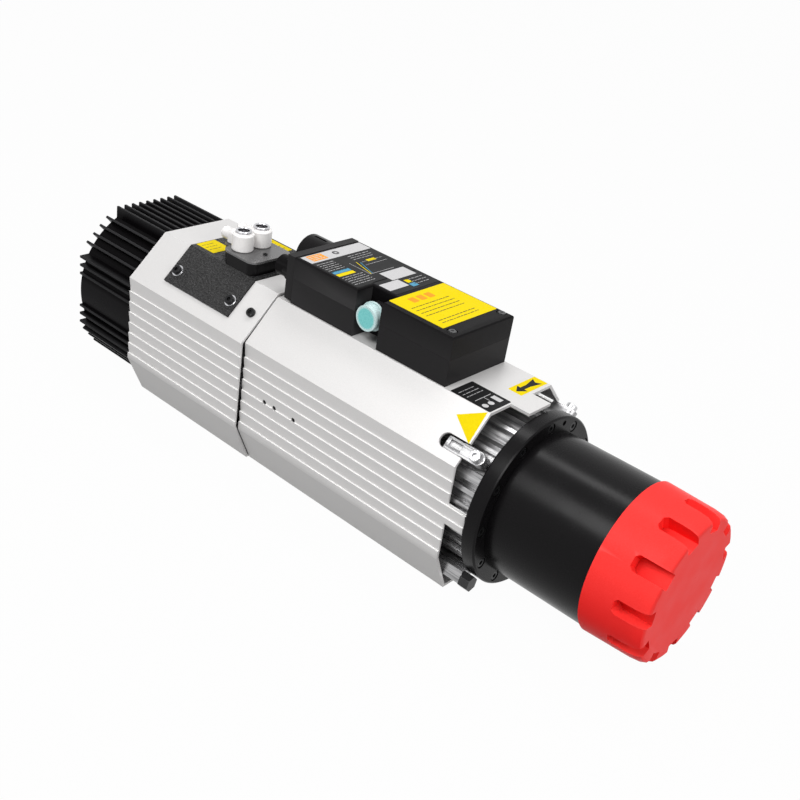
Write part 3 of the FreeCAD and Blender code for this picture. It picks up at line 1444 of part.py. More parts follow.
def terminal_block():
    made = new_body("terminal_block")
    floor = front_top + slip + box_wall + slip
    x0, x1 = box_rear + 24.0, box_rear + 60.0
    pad(made, "block", "XY_Plane", floor, floor + 16.0, [box_corners(x0, x1, -6.0, 24.0)])
    cells = [box_corners(x0 + 3.0 + 5.4 * k, x0 + 6.6 + 5.4 * k, 2.0, 16.0) for k in range(6)]
    pocket(made, "cells", "XY_Plane", floor + 8.0, floor + 17.0, cells)
    keep(made)


def junction_screws():
    """Screws that hold the lid of the junction box."""
    screw = socket_screw(cover_screw_radius.value, 3.4, 1.2, 7.0, 1.5)
    seat = box_top.value - cover_screw_recess.value + slip.value
    heads = []
    for x, y in cover_screw_spots():
        heads.append(posed(screw, (x.value, y.value, seat), (0, 0, 1)))
    computed("junction_screws", Part.makeCompound(heads))


def tilted_spot(tilt, x, shift, height):
    """A point on a slanted face: along it by a shift, out from the axis by a height."""
    angle = math.radians(tilt.value)
    return (x, shift.value * math.cos(angle) - height * math.sin(angle),
            shift.value * math.sin(angle) + height * math.cos(angle))


def slanted_screws():
    """Cap screws on the upper slanted faces, both sides."""
    rear_face = rear_face_height()
    stem = saddle_screw_radius.value
    screw = socket_screw(stem, 4.3, 3.6, 5.0, 2.0)
    top = rear_face + saddle_thickness.value + 2.0 * slip.value
    spots = [tilted_spot(rear_tilt, x.value, skin_screw_shift, top)
             for x in (saddle_rear + saddle_screw_margin, saddle_front - saddle_screw_margin)]
    both("saddle_screws", screw, spots, rear_tilt)
    screw = socket_screw(skin_screw_hole.value - 0.8, 4.0, 3.2, 12.0, 1.9)
    spot = tilted_spot(rear_tilt, skin_screw_x.value, skin_screw_shift, rear_face + slip.value)
    both("skin_screws", screw, [spot], rear_tilt)
    screw = socket_screw(bracket_screw_radius.value, 4.6, 4.4, 9.0, 2.2)
    seat = chamfer_height.value - bracket_inset.value + slip.value
    spot = tilted_spot(chamfer_tilt, bracket_screw_x.value, bracket_shift, seat)
    both("bracket_screws", screw, [spot], chamfer_tilt)


def rear_face_height():
    """How far the rear skin's upper slanted face lies from the axis."""
    dy = (rear_half_width - rear_top_half).value
    dz = (rear_top - rear_upper_corner).value
    cross = rear_top.value * dy + rear_top_half.value * dz
    return cross / math.hypot(dy, dz)


def both(label, screw, spots, tilt):
    angle = math.radians(tilt.value)
    out = (0.0, -math.sin(angle), math.cos(angle))
    solids = []
    for spot in spots:
        solids.append(posed(screw, spot, out))
        solids.append(posed(screw, (spot[0], -spot[1], spot[2]), (out[0], -out[1], out[2])))
    computed(label, Part.makeCompound(solids))


def upper_brackets():
    made = new_body("upper_bracket")
    half = bracket_width / 2.0
    low = housing_bore + housing_wall + fin_height + free_gap * 2.0
    top = chamfer_height - bracket_inset
    step = bracket_rear + bracket_arm
    near, far = bracket_shift - half, bracket_shift + half
    nose = bracket_front - half
    pad(made, "boss", "XY_Plane", low, top, [box_corners(step, nose, near, far)])
    pad(made, "boss_end", "XY_Plane", low, top, circles=[(nose, bracket_shift, half)])
    pad(made, "arm", "XY_Plane", low, top - 3.0,
        [box_corners(bracket_rear + 2.0, step, near, far)])
    pocket(made, "groove", "XY_Plane", top - 6.0, top,
           [box_corners(bracket_rear + 5.0, step - 2.0, bracket_shift - 1.6, bracket_shift + 3.0)])
    pocket(made, "screw_hole", "XY_Plane", top - 12.0, top + 1.0,
           circles=[(bracket_screw_x, bracket_shift, bracket_screw_radius + seat_gap)])
    turn = FreeCAD.Rotation(Vector(1, 0, 0), chamfer_tilt.value)
    made.Placement = FreeCAD.Placement(Vector(0, 0, 0), turn)
    made.setExpression("Placement.Rotation.Angle", chamfer_tilt.text)
    pair("upper_brackets", made)


def corner_bars():
    """Bars along the lower corners and the hexagon bolts in their ends."""
    y, z = bar_bolt_y, bar_bolt_z
    made = new_body("corner_bar")
    pad(made, "bar", "YZ_Plane", rail_rear, bar_front,
        [box_corners(-bar_outer, -bar_inner, bar_lower, bar_upper)])
    pocket(made, "bolt_hole", "YZ_Plane", bar_front - 22.0, bar_front + 1.0,
           circles=[(y, z, bar_bolt_radius + slip)])
    pair("corner_bars", made)
    bolt = new_body("corner_bolt")
    reach = bar_bolt_across / (2.0 * cosine(30.0))
    pad(bolt, "head", "YZ_Plane", bar_front + slip, bar_front + bar_bolt_head,
        [hexagon(y, z, reach, 15.0)])
    pad(bolt, "shank", "YZ_Plane", bar_front - 18.0, bar_front + 2.0,
        circles=[(y, z, bar_bolt_radius)])
    pair("corner_bolts", bolt)


def mounting_rails():
    """Two rails under the housing with the threaded mounting holes."""
    rail = doc.addObject("Part::Box", "rail_block")
    rail.setExpression("Length", (rail_front - rail_rear).text)
    rail.setExpression("Width", rail_width.text)
    rail.setExpression("Height", (base_height - boss_reach * 0.7).text)
    rail.setExpression("Placement.Base.x", rail_rear.text)
    rail.setExpression("Placement.Base.y", rail_inner.text)
    rail.setExpression("Placement.Base.z", (-base_height).text)
    saddle = doc.addObject("Part::Cylinder", "rail_saddle")
    saddle.Placement = FreeCAD.Placement(Vector(0, 0, 0), FreeCAD.Rotation(Vector(0, 1, 0), 90))
    saddle.setExpression("Radius", (boss_reach + free_gap).text)
    saddle.setExpression("Height", (rail_front - rail_rear + 20.0).text)
    saddle.setExpression("Placement.Base.x", (rail_rear - 10.0).text)
    drills = []
    for index, x in enumerate((rail_rear + rail_hole_margin, rail_front - rail_hole_margin)):
        drill = doc.addObject("Part::Cylinder", "rail_drill_%d" % index)
        drill.setExpression("Radius", rail_hole_radius.text)
        drill.setExpression("Height", (rail_hole_depth + 5.0).text)
        drill.setExpression("Placement.Base.x", x.text)
        drill.setExpression("Placement.Base.y", (rail_inner + rail_width / 2.0).text)
        drill.setExpression("Placement.Base.z", (-base_height - 5.0).text)
        drills.append(drill)
    tools = doc.addObject("Part::MultiFuse", "rail_tools")
    tools.Shapes = [saddle] + drills
    cut = doc.addObject("Part::Cut", "rail")
    cut.Base = rail
    cut.Tool = tools
    pair("mounting_rails", cut)


def nose_cap():
    """The transport cap: a deep plastic cup with notches round its front."""
    made = new_body("nose_cap")
    inner = nose_radius + free_gap
    shoulder = notch_rear - cap_wall - 1.0
    core = notch_root - cap_wall
    turned(made, "cup", [
        (cap_rim_x, inner), (shoulder - 2.0, inner), (shoulder, core), (cap_front_x - cap_wall, core),
        (cap_front_x - cap_wall, 0.0), (cap_front_x, 0.0), (cap_front_x, cap_face_radius),
        (cap_front_x - 1.4, cap_face_radius + 2.4), (cap_front_x - 5.0, cap_shoulder_radius - 1.0),
        (cap_front_x - 12.0, cap_shoulder_radius), (cap_rim_x, cap_rim_radius)])
    half = notch_width / 2.0
    centre = notch_start
    back, cut = notch_rear, notch_corner
    loop = [(back, cut - half), (back + cut, -half), (cap_front_x + overrun, -half),
            (cap_front_x + overrun, half), (back + cut, half), (back, half - cut)]
    notch = pocket(made, "notch", "XY_Plane", notch_root, cap_rim_radius + 3.0, [loop],
                   tilt=centre - 90.0)
    around(made, "notches", [notch], notch_count)
    turn = centre + 180.0 / notch_count
    wide = (180.0 / notch_count) - 9.0
    loop = []
    outer = cap_face_radius - 0.8
    for radius, angle in ((core - 1.0, turn - wide), (core - 1.0, turn + wide),
                          (outer, turn + wide), (outer, turn - wide)):
        loop.append((radius * cosine(angle), radius * sine(angle)))
    hollow = pocket(made, "lobe", "YZ_Plane", shoulder - 1.0, cap_front_x - cap_wall, [loop])
    around(made, "lobes", [hollow], notch_count)
    keep(made)


rear_skin()
front_skin()
stator_housing()
small_screws()
front_flange()
flange_screws()
nose_cartridge()
nose_cover()
nose_cover_screws()
bearing_sets()
spindle_shaft()
drive_keys()
rotor_core()
shaft_nut()
drawbar()
gripper()
disc_springs()
stator_core()
end_windings()
end_shield()
release_cylinder()
release_piston()
cylinder_cover()
position_sensors()
rear_cowl()
fan_guard()
fan_frame()
fan_impeller()
saddle_cover()
manifold()
fittings()
junction_box()
gland_plate()
connectors()
cable_gland()
terminal_block()
junction_screws()
slanted_screws()
upper_brackets()
corner_bars()
mounting_rails()
nose_cap()
doc.recompute()

for made in doc.Objects:
    if "Invalid" in made.State or "Error" in made.State:
        raise RuntimeError("%s failed: %s" % (made.Name, made.State))
for made in nodes:
    if made.Shape.isNull() or not made.Shape.isValid():
        raise RuntimeError(made.Label + " has no sound shape")

os.makedirs("parts", exist_ok=True)
for made in nodes:
    made.Shape.exportStep("parts/%s.step" % made.Label)
print(len(nodes), "nodes")
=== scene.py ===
"""Looks of the motor spindle, in metres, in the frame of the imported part."""
import bpy
import bmesh
import json
import math
from mathutils import Matrix, Vector


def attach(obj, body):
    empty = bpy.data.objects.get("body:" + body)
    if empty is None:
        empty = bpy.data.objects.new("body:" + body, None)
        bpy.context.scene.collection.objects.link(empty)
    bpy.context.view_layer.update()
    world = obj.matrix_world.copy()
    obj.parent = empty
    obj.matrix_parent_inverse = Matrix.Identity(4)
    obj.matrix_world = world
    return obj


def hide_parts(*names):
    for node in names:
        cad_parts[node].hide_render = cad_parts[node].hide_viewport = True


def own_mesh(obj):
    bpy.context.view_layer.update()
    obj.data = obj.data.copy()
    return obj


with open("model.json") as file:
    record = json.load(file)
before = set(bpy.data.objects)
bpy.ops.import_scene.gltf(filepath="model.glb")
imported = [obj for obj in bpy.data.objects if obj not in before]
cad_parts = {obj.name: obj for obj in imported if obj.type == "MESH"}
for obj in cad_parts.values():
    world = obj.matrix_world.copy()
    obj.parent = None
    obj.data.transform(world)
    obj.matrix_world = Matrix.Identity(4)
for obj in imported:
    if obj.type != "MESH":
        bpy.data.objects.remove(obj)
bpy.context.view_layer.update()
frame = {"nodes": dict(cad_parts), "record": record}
nodes = frame["nodes"]
record = frame["record"]
MM = 0.001


def body_with(node):
    """The name of the body that a node belongs to."""
    for body, members in record["behaviour"]["bodies"].items():
        if node in members:
            return body
    raise ValueError(node)


# Materials. A grain is even, or stretched along an axis where its scale is small
EVEN = (1.0, 1.0, 1.0)
LENGTHWISE = (0.04, 1.0, 1.0)
LAYERED = (1.0, 0.02, 0.02)
WOUND = (0.1, 1.0, 1.0)
SIDEWAYS_OF_Y = (1.0, 0.0, 1.0)

# Shares of a noise between which a tone or sheen runs from its low to its high value
NOISE_LOW, NOISE_HIGH = 0.3, 0.7

# Pointiness from which an edge (partly wear, partly painted highlight) or a crease (painted shade)
# shows, and at which it is full
EDGE_TURN = (0.53, 0.62)
FINE_EDGE_TURN = (0.58, 0.68)
CREASE_TURN = (0.475, 0.41)

# Upward part of the normal from which a surface counts as facing down and gets painted shade, and
# fully so
UNDER_TURN = (0.35, -0.75)

# Slow drift of the sheen over a whole piece
DRIFT_SIZE, DRIFT_DETAIL, DRIFT_ROUGH = 45.0, 2.0, 0.5
GRAIN_DETAIL, GRAIN_ROUGH = 3.0, 0.6
PLASTIC_IOR = 1.5

# Skins: ledges face up and lie outside this half width; they get a painted highlight
LEDGE_FACING = (0.8, 0.95)
LEDGE_OUTSIDE = (0.064, 0.066)
# Skins: faces that point down get painted shade
UNDERSIDE_FACING = (-0.25, -0.6)

# Powder coat: distances from a grain's middle at its glossy top and in its dull pit
PIT_TOP, PIT_BOTTOM = 0.1, 0.7
GRAIN_SMOOTHNESS = 0.6


def new_material(name):
    """A material, its node tree and its surface shader."""
    made = bpy.data.materials.new(name)
    made.use_nodes = True
    tree = made.node_tree
    return made, tree, tree.nodes["Principled BSDF"]


def calculated(tree, operation, *terms):
    """One sum; each term is a number or the outcome of another node."""
    made = tree.nodes.new("ShaderNodeMath")
    made.operation = operation
    for place, term in enumerate(terms):
        if isinstance(term, float):
            made.inputs[place].default_value = term
        else:
            tree.links.new(term, made.inputs[place])
    return made.outputs[0]


def place_on_part(tree, stretch=EVEN):
    """The point on the part, scaled along each axis."""
    spot = tree.nodes.new("ShaderNodeTexCoord")
    mapping = tree.nodes.new("ShaderNodeMapping")
    mapping.inputs["Scale"].default_value = stretch
    tree.links.new(spot.outputs["Object"], mapping.inputs["Vector"])
    return mapping.outputs["Vector"]


def separated(tree, vector, axis):
    """One coordinate of a vector."""
    made = tree.nodes.new("ShaderNodeSeparateXYZ")
    tree.links.new(vector, made.inputs["Vector"])
    return made.outputs[axis]


def shape_output(tree, name):
    """What the surface's own shape says: its normal or how much it turns."""
    return tree.nodes.new("ShaderNodeNewGeometry").outputs[name]


def noise(tree, stretch, size, detail=GRAIN_DETAIL, rough=GRAIN_ROUGH):
    """Noise of a given size and stretch."""
    made = tree.nodes.new("ShaderNodeTexNoise")
    made.inputs["Scale"].default_value = size
    made.inputs["Detail"].default_value = detail
    made.inputs["Roughness"].default_value = rough
    tree.links.new(place_on_part(tree, stretch), made.inputs["Vector"])
    return made.outputs["Fac"]


def ranged(tree, value, low, high, start=NOISE_LOW, end=NOISE_HIGH):
    """A value that runs from low to high while another one goes from start to end."""
    made = tree.nodes.new("ShaderNodeMapRange")
    made.inputs["From Min"].default_value = start
    made.inputs["From Max"].default_value = end
    made.inputs["To Min"].default_value = low
    made.inputs["To Max"].default_value = high
    tree.links.new(value, made.inputs["Value"])
    return made.outputs["Result"]


def share_of(tree, value, turn):
    """0 to 1 between the two ends of a turn."""
    return ranged(tree, value, 0.0, 1.0, *turn)


def tinted(tree, value, low, high, start=NOISE_LOW, end=NOISE_HIGH):
    """A colour that runs from low to high while a value goes from start to end."""
    made = tree.nodes.new("ShaderNodeValToRGB")
    made.color_ramp.elements[0].position = start
    made.color_ramp.elements[1].position = end
    made.color_ramp.elements[0].color = (*low, 1.0)
    made.color_ramp.elements[1].color = (*high, 1.0)
    tree.links.new(value, made.inputs["Fac"])
    return made.outputs["Color"]


def mixed(tree, share, colour, other):
    """A colour that turns to another one with a share."""
    made = tree.nodes.new("ShaderNodeMix")
    made.data_type = "RGBA"
    made.inputs["B"].default_value = (*other, 1.0)
    tree.links.new(share, made.inputs["Factor"])
    tree.links.new(colour, made.inputs["A"])
    return made.outputs["Result"]


def wear_and_painted_light(tree, colour, other, turn):
    """The same colour, changed where the surface turns over an edge or into a crease; a paler edge
    is partly wear, partly a painted highlight, and a darker crease is painted shade.
    """
    return mixed(tree, share_of(tree, shape_output(tree, "Pointiness"), turn), colour, other)


def painted_shade_below(tree, colour, under):
    """The same colour, turning to another, darker one where the surface faces down: painted shade.
    """
    upward = separated(tree, shape_output(tree, "Normal"), "Z")
    return mixed(tree, share_of(tree, upward, UNDER_TURN), colour, under)


def bumped(tree, shader, height, strength, distance):
    """Relief on a surface."""
    made = tree.nodes.new("ShaderNodeBump")
    made.inputs["Strength"].default_value = strength
    made.inputs["Distance"].default_value = distance
    tree.links.new(height, made.inputs["Height"])
    tree.links.new(made.outputs["Normal"], shader.inputs["Normal"])


def surface(name, low, high, rough, grain, size, strength, depth, metallic=0.0, stretch=EVEN,
            specular=0.5, edge=None, turn=EDGE_TURN, crease=None, under=None):
    """A finish whose tone, sheen and relief vary with a grain of a given size and stretch.

    low and high are its darkest and palest tones, rough its mean roughness and grain what the
    roughness strays from it; strength and depth belong to the relief.
    """
    made, tree, shader = new_material(name)
    value = noise(tree, stretch, size)
    broad = noise(tree, EVEN, DRIFT_SIZE, DRIFT_DETAIL, DRIFT_ROUGH)
    colour = tinted(tree, value, low, high)
    # Paler edges are partly wear, partly painted highlight; darker creases and downward faces are
    # painted shade
    if edge:
        colour = wear_and_painted_light(tree, colour, edge, turn)
    if crease:
        colour = wear_and_painted_light(tree, colour, crease, CREASE_TURN)
    if under:
        colour = painted_shade_below(tree, colour, under)
    tree.links.new(colour, shader.inputs["Base Color"])
    drift = ranged(tree, broad, -grain, grain)
    local = ranged(tree, value, rough - grain, rough + grain)
    tree.links.new(calculated(tree, "ADD", drift, local), shader.inputs["Roughness"])
    bumped(tree, shader, value, strength, depth)
    shader.inputs["Metallic"].default_value = metallic
    shader.inputs["IOR"].default_value = PLASTIC_IOR
    shader.inputs["Specular IOR Level"].default_value = specular
    return made


def ledged_with_painted_light(name, low, high, painted_ledge_highlight, dull, sheen, size, strength, depth, metallic, specular):
    """Satin anodised sheet with a painted highlight on its narrow upward ledges and painted shade
    on its undersides.

    sheen is the range of its roughness; strength and depth belong to the relief.
    """
    made, tree, shader = new_material(name)
    value = noise(tree, EVEN, size)
    facing = separated(tree, shape_output(tree, "True Normal"), "Z")
    outward = calculated(tree, "ABSOLUTE", separated(tree, place_on_part(tree), "Y"))
    # Painted highlight on upward ledges outside the half width
    ledge = calculated(tree, "MULTIPLY", share_of(tree, facing, LEDGE_FACING),
                       share_of(tree, outward, LEDGE_OUTSIDE))
    colour = mixed(tree, ledge, tinted(tree, value, low, high), painted_ledge_highlight)
    # Painted shade, the dull tone, on faces that point down
    colour = mixed(tree, share_of(tree, facing, UNDERSIDE_FACING), colour, dull)
    tree.links.new(colour, shader.inputs["Base Color"])
    tree.links.new(ranged(tree, value, *sheen), shader.inputs["Roughness"])
    bumped(tree, shader, value, strength, depth)
    shader.inputs["Metallic"].default_value = metallic
    shader.inputs["Specular IOR Level"].default_value = specular
    return made


def pitted(name, low, high, top, pit, size, strength, depth, specular):
    """Thick powder coat: rounded grains with glossy tops and dull pits between.

    top and pit are the roughness there; strength and depth belong to the relief.
    """
    made, tree, shader = new_material(name)
    cells = tree.nodes.new("ShaderNodeTexVoronoi")
    cells.feature = "SMOOTH_F1"
    cells.inputs["Scale"].default_value = size
    cells.inputs["Smoothness"].default_value = GRAIN_SMOOTHNESS
    tree.links.new(place_on_part(tree), cells.inputs["Vector"])
    away = cells.outputs["Distance"]
    tree.links.new(tinted(tree, away, high, low, PIT_TOP, PIT_BOTTOM),
                   shader.inputs["Base Color"])
    tree.links.new(ranged(tree, away, top, pit, PIT_TOP, PIT_BOTTOM),
                   shader.inputs["Roughness"])
    bumped(tree, shader, calculated(tree, "SUBTRACT", 1.0, away), strength, depth)
    shader.inputs["Specular IOR Level"].default_value = specular
    return made


def vector_node(tree, operation, vector, other=None):
    """One step with vectors; the other one is a constant."""
    made = tree.nodes.new("ShaderNodeVectorMath")
    made.operation = operation
    tree.links.new(vector, made.inputs[0])
    if other:
        made.inputs[1].default_value = other
    return made


def rimmed(name, core, rim, centre, inner, outer, clearness, sheen, size, strength, depth):
    """A round cap about Y: one tone in the middle and a paler, clearer one at its rim.

    The tone changes between the radii inner and outer.
    """
    made, tree, shader = new_material(name)
    spot = tree.nodes.new("ShaderNodeTexCoord")
    away = vector_node(tree, "SUBTRACT", spot.outputs["Object"], centre)
    flat = vector_node(tree, "MULTIPLY", away.outputs["Vector"], SIDEWAYS_OF_Y)
    radius = vector_node(tree, "LENGTH", flat.outputs["Vector"]).outputs["Value"]
    share = share_of(tree, radius, (inner, outer))
    tree.links.new(tinted(tree, share, core, rim, 0.0, 1.0), shader.inputs["Base Color"])
    tree.links.new(ranged(tree, share, 0.0, clearness, 0.0, 1.0),
                   shader.inputs["Transmission Weight"])
    grain = noise(tree, EVEN, size)
    tree.links.new(ranged(tree, grain, *sheen), shader.inputs["Roughness"])
    bumped(tree, shader, grain, strength, depth)
    return made


# Edge tones are partly wear, partly painted highlight; red_cap's crease and under tones are
# painted shade
FINISHES = {
    "black_gloss": dict(
        low=(0.0028, 0.0024, 0.0028), high=(0.005, 0.0045, 0.005), rough=0.3, grain=0.04,
        size=900.0, strength=0.1, depth=0.0001, specular=0.018, edge=(0.05, 0.05, 0.052)),
    "black_guard": dict(
        low=(0.008, 0.008, 0.0085), high=(0.014, 0.014, 0.014), rough=0.5, grain=0.06,
        size=1500.0, strength=0.15, depth=0.0001, specular=0.25),
    "housing": dict(
        low=(0.17, 0.17, 0.175), high=(0.6, 0.595, 0.6), rough=0.3, grain=0.07,
        size=420.0, strength=0.25, depth=0.00008, metallic=0.85, stretch=LENGTHWISE),
    "black_flange": dict(
        low=(0.003, 0.0027, 0.003), high=(0.0055, 0.005, 0.0055), rough=0.26, grain=0.03,
        size=1800.0, strength=0.06, depth=0.00004, specular=0.1, edge=(0.26, 0.26, 0.265),
        turn=FINE_EDGE_TURN),
    "manifold_grey": dict(
        low=(0.085, 0.083, 0.086), high=(0.12, 0.118, 0.12), rough=0.3, grain=0.05,
        size=900.0, strength=0.12, depth=0.0001, metallic=0.6, edge=(0.4, 0.4, 0.4)),
    "white_plastic": dict(
        low=(0.8, 0.78, 0.77), high=(0.86, 0.84, 0.83), rough=0.35, grain=0.05,
        size=700.0, strength=0.06, depth=0.0001),
    "chrome_ring": dict(
        low=(0.5, 0.5, 0.52), high=(0.68, 0.68, 0.7), rough=0.16, grain=0.05,
        size=900.0, strength=0.05, depth=0.0001, metallic=1.0),
    "box_plastic": dict(
        low=(0.004, 0.0036, 0.004), high=(0.0075, 0.007, 0.0075), rough=0.36, grain=0.05,
        size=1500.0, strength=0.4, depth=0.00025, specular=0.03, edge=(0.04, 0.039, 0.04)),
    "red_cap": dict(
        low=(0.88, 0.034, 0.03), high=(0.93, 0.05, 0.045), rough=0.36, grain=0.05,
        size=1400.0, strength=0.1, depth=0.0001, specular=0.03, edge=(0.96, 0.08, 0.075),
        crease=(0.42, 0.002, 0.003), under=(0.78, 0.001, 0.002)),
    "steel": dict(
        low=(0.5, 0.5, 0.51), high=(0.62, 0.62, 0.63), rough=0.25, grain=0.06,
        size=900.0, strength=0.08, depth=0.0001, metallic=1.0),
    "dark_steel": dict(
        low=(0.01, 0.01, 0.0105), high=(0.02, 0.02, 0.021), rough=0.3, grain=0.06,
        size=1500.0, strength=0.1, depth=0.0001, metallic=0.5, specular=0.2,
        edge=(0.09, 0.09, 0.092)),
    "laminations": dict(
        low=(0.18, 0.18, 0.19), high=(0.34, 0.34, 0.35), rough=0.4, grain=0.08,
        size=1800.0, strength=0.4, depth=0.0002, metallic=0.9, stretch=LAYERED),
    "windings": dict(
        low=(0.35, 0.11, 0.03), high=(0.6, 0.26, 0.1), rough=0.35, grain=0.08,
        size=900.0, strength=0.6, depth=0.0006, metallic=0.4, stretch=WOUND),
    "brass_part": dict(
        low=(0.5, 0.34, 0.13), high=(0.62, 0.45, 0.2), rough=0.3, grain=0.06,
        size=900.0, strength=0.08, depth=0.0001, metallic=1.0),
}
LABEL_INKS = {
    "label_yellow": dict(
        low=(0.7, 0.54, 0.003), high=(0.76, 0.59, 0.004), rough=0.35, size=500.0,
        specular=0.02),
    "label_ink": dict(
        low=(0.006, 0.006, 0.007), high=(0.012, 0.012, 0.012), rough=0.4, size=900.0,
        specular=0.08),
    "label_pale": dict(
        low=(0.46, 0.455, 0.46), high=(0.55, 0.545, 0.55), rough=0.4, size=900.0,
        specular=0.15),
    "label_orange": dict(
        low=(0.76, 0.27, 0.01), high=(0.82, 0.32, 0.014), rough=0.35, size=500.0,
        specular=0.06),
    "label_blue": dict(
        low=(0.02, 0.2, 0.34), high=(0.03, 0.26, 0.42), rough=0.4, size=900.0),
}
looks = {name: surface(name, **values) for name, values in FINISHES.items()}
# silver_skin: painted highlight on its ledges, painted shade (the dull tone) on its undersides
looks["silver_skin"] = ledged_with_painted_light(
    "silver_skin", low=(0.6, 0.591, 0.586), high=(0.645, 0.635, 0.63),
    painted_ledge_highlight=(0.97, 0.965, 0.96), dull=(0.4, 0.394, 0.39), sheen=(0.37, 0.45), size=1100.0,
    strength=0.05, depth=0.00002, metallic=0.22, specular=0.3)
looks["crackle"] = pitted(
    "crackle", low=(0.003, 0.0028, 0.003), high=(0.014, 0.0135, 0.014), top=0.26, pit=0.61,
    size=620.0, strength=0.9, depth=0.0014, specular=0.34)
looks["aqua"] = rimmed(
    "aqua", core=(0.16, 0.56, 0.55), rim=(0.62, 0.8, 0.8), centre=(-0.16075, 0.0, 0.0983),
    inner=0.0076, outer=0.0096, clearness=0.15, sheen=(0.22, 0.34), size=700.0,
    strength=0.05, depth=0.0001)
yellow, ink, pale, orange, blue = (
    surface(name, grain=0.05, strength=0.04, depth=0.00005, **values)
    for name, values in LABEL_INKS.items())


# Pieces: every solid's surface with its edges broken
MERGE_REACH = 2e-6
FLAT_ANGLE = math.radians(0.5)
EDGE_ANGLE = math.radians(32.0)
EDGE_SEGMENTS = 2
EDGE_WIDTH = 0.3
EDGE_WIDTHS = {
    "rear_skin": 0.25, "front_skin": 0.25, "rear_cowl": 0.5, "nose_cap": 0.8,
    "front_flange": 0.5, "saddle_cover": 0.5, "junction_base": 0.5, "junction_cover": 0.5,
    "stator_housing": 0.4, "upper_brackets": 0.5,
}
SMOOTH_ANGLE = 40.0


def bare_mesh(node):
    """The solid's surface without its stored normals."""
    source = nodes[node].data
    made = bpy.data.meshes.new(node + "_surface")
    made.from_pydata([v.co.copy() for v in source.vertices], [],
                     [list(p.vertices) for p in source.polygons])
    return made


def finished(name, mesh, body, look, replaces=(), smooth=SMOOTH_ANGLE):
    """Put a mesh in the scene as a piece that rides with a body."""
    for face in mesh.polygons:
        face.use_smooth = True
    mesh.set_sharp_from_angle(angle=math.radians(smooth))
    made = bpy.data.objects.new(name, mesh)
    bpy.context.scene.collection.objects.link(made)
    made.data.materials.append(look)
    even = made.modifiers.new("even_normals", "WEIGHTED_NORMAL")
    even.keep_sharp = True
    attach(made, body)
    if replaces:
        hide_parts(*replaces)
    return made


def refined(node, slot, width):
    """A solid with its edges broken as the real piece's are."""
    mesh = bare_mesh(node)
    made = bmesh.new()
    made.from_mesh(mesh)
    bmesh.ops.remove_doubles(made, verts=made.verts, dist=MERGE_REACH)
    bmesh.ops.dissolve_limit(made, angle_limit=FLAT_ANGLE, verts=made.verts, edges=made.edges)
    sharp = [e for e in made.edges
             if len(e.link_faces) == 2 and e.calc_face_angle(0.0) > EDGE_ANGLE]
    bmesh.ops.bevel(made, geom=sharp, offset=width * MM, offset_type="OFFSET",
                    segments=EDGE_SEGMENTS, profile=0.5, affect="EDGES", clamp_overlap=True,
                    material=-1)
    made.to_mesh(mesh)
    made.free()
    return finished(node + "_finish", mesh, body_with(node), looks[slot], (node,))


for entry in record["subparts"]:
    node = entry["node"]
    piece = refined(node, entry["material_slot"], EDGE_WIDTHS.get(node, EDGE_WIDTH))
    if node == "disc_springs":
        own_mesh(piece)


# Stickers: plain grounds with ruled lines, bars and swatches. Sizes in millimetres
SLOPE = math.radians(46.4)
CHAMFER_HEIGHT = 80.93
BOX_TOP, SKIN_TOP, SADDLE_TOP = 117.5, 76.7, 80.8
GROUND_THICK = 0.12
PRINT_THICK = 0.03
SOFT_CORNER = 1.2
TIGHT_CORNER = 0.8
CORNER_STEPS = 4
DISC_STEP = 20
WORD_GAP = 0.9
SHORTEST_WORD, WORD_GROWTH, WORD_KINDS = 1.6, 0.7, 6
RAGGED_SHARE, END_TURN, END_KINDS = 0.3, 7, 5
LEAST_REST = 1.0
ROW_COUNT, WORD_COUNT = 5, 3


def level(z):
    """Maps a flat (x, y) and a lift to a point over a level face."""
    return lambda x, y, lift: Vector((x, y, z + lift)) * MM


def slanted(x, y, lift):
    """The same over the near upper slanted face of the front skin; y runs up the slope."""
    out = CHAMFER_HEIGHT + lift
    return Vector((x, y * math.cos(SLOPE) - out * math.sin(SLOPE),
                   y * math.sin(SLOPE) + out * math.cos(SLOPE))) * MM


def ground(name, face, shapes, look, lift=0.0, thick=GROUND_THICK):
    """Thin shapes on a face; each shape is a list of flat corners."""
    made = bmesh.new()
    for shape in shapes:
        low = [made.verts.new(face(x, y, lift)) for x, y in shape]
        high = [made.verts.new(face(x, y, lift + thick)) for x, y in shape]
        made.faces.new(high)
        count = len(shape)
        for index in range(count):
            other = (index + 1) % count
            made.faces.new((low[index], low[other], high[other], high[index]))
        made.faces.new(list(reversed(low)))
    bmesh.ops.recalc_face_normals(made, faces=made.faces)
    mesh = bpy.data.meshes.new(name)
    made.to_mesh(mesh)
    made.free()
    finished(name, mesh, "motor", look)


def print_on(name, face, shapes, look, layer=0):
    """Printed shapes on a ground, or on the given number of printed layers over it."""
    ground(name, face, shapes, look, GROUND_THICK + layer * PRINT_THICK, PRINT_THICK)


def patch(x0, x1, y0, y1):
    """A rectangle."""
    return [(x0, y0), (x1, y0), (x1, y1), (x0, y1)]


def soft_patch(x0, x1, y0, y1, corner=SOFT_CORNER):
    """A rectangle with rounded corners."""
    points = []
    spots = ((x1 - corner, y1 - corner, 0), (x0 + corner, y1 - corner, 90),
             (x0 + corner, y0 + corner, 180), (x1 - corner, y0 + corner, 270))
    for x, y, start in spots:
        for step in range(CORNER_STEPS + 1):
            angle = math.radians(start + 90.0 * step / CORNER_STEPS)
            points.append((x + corner * math.cos(angle), y + corner * math.sin(angle)))
    return points


def disc(x, y, radius):
    """A round shape."""
    return [(x + radius * math.cos(math.radians(a)), y + radius * math.sin(math.radians(a)))
            for a in range(0, 360, DISC_STEP)]


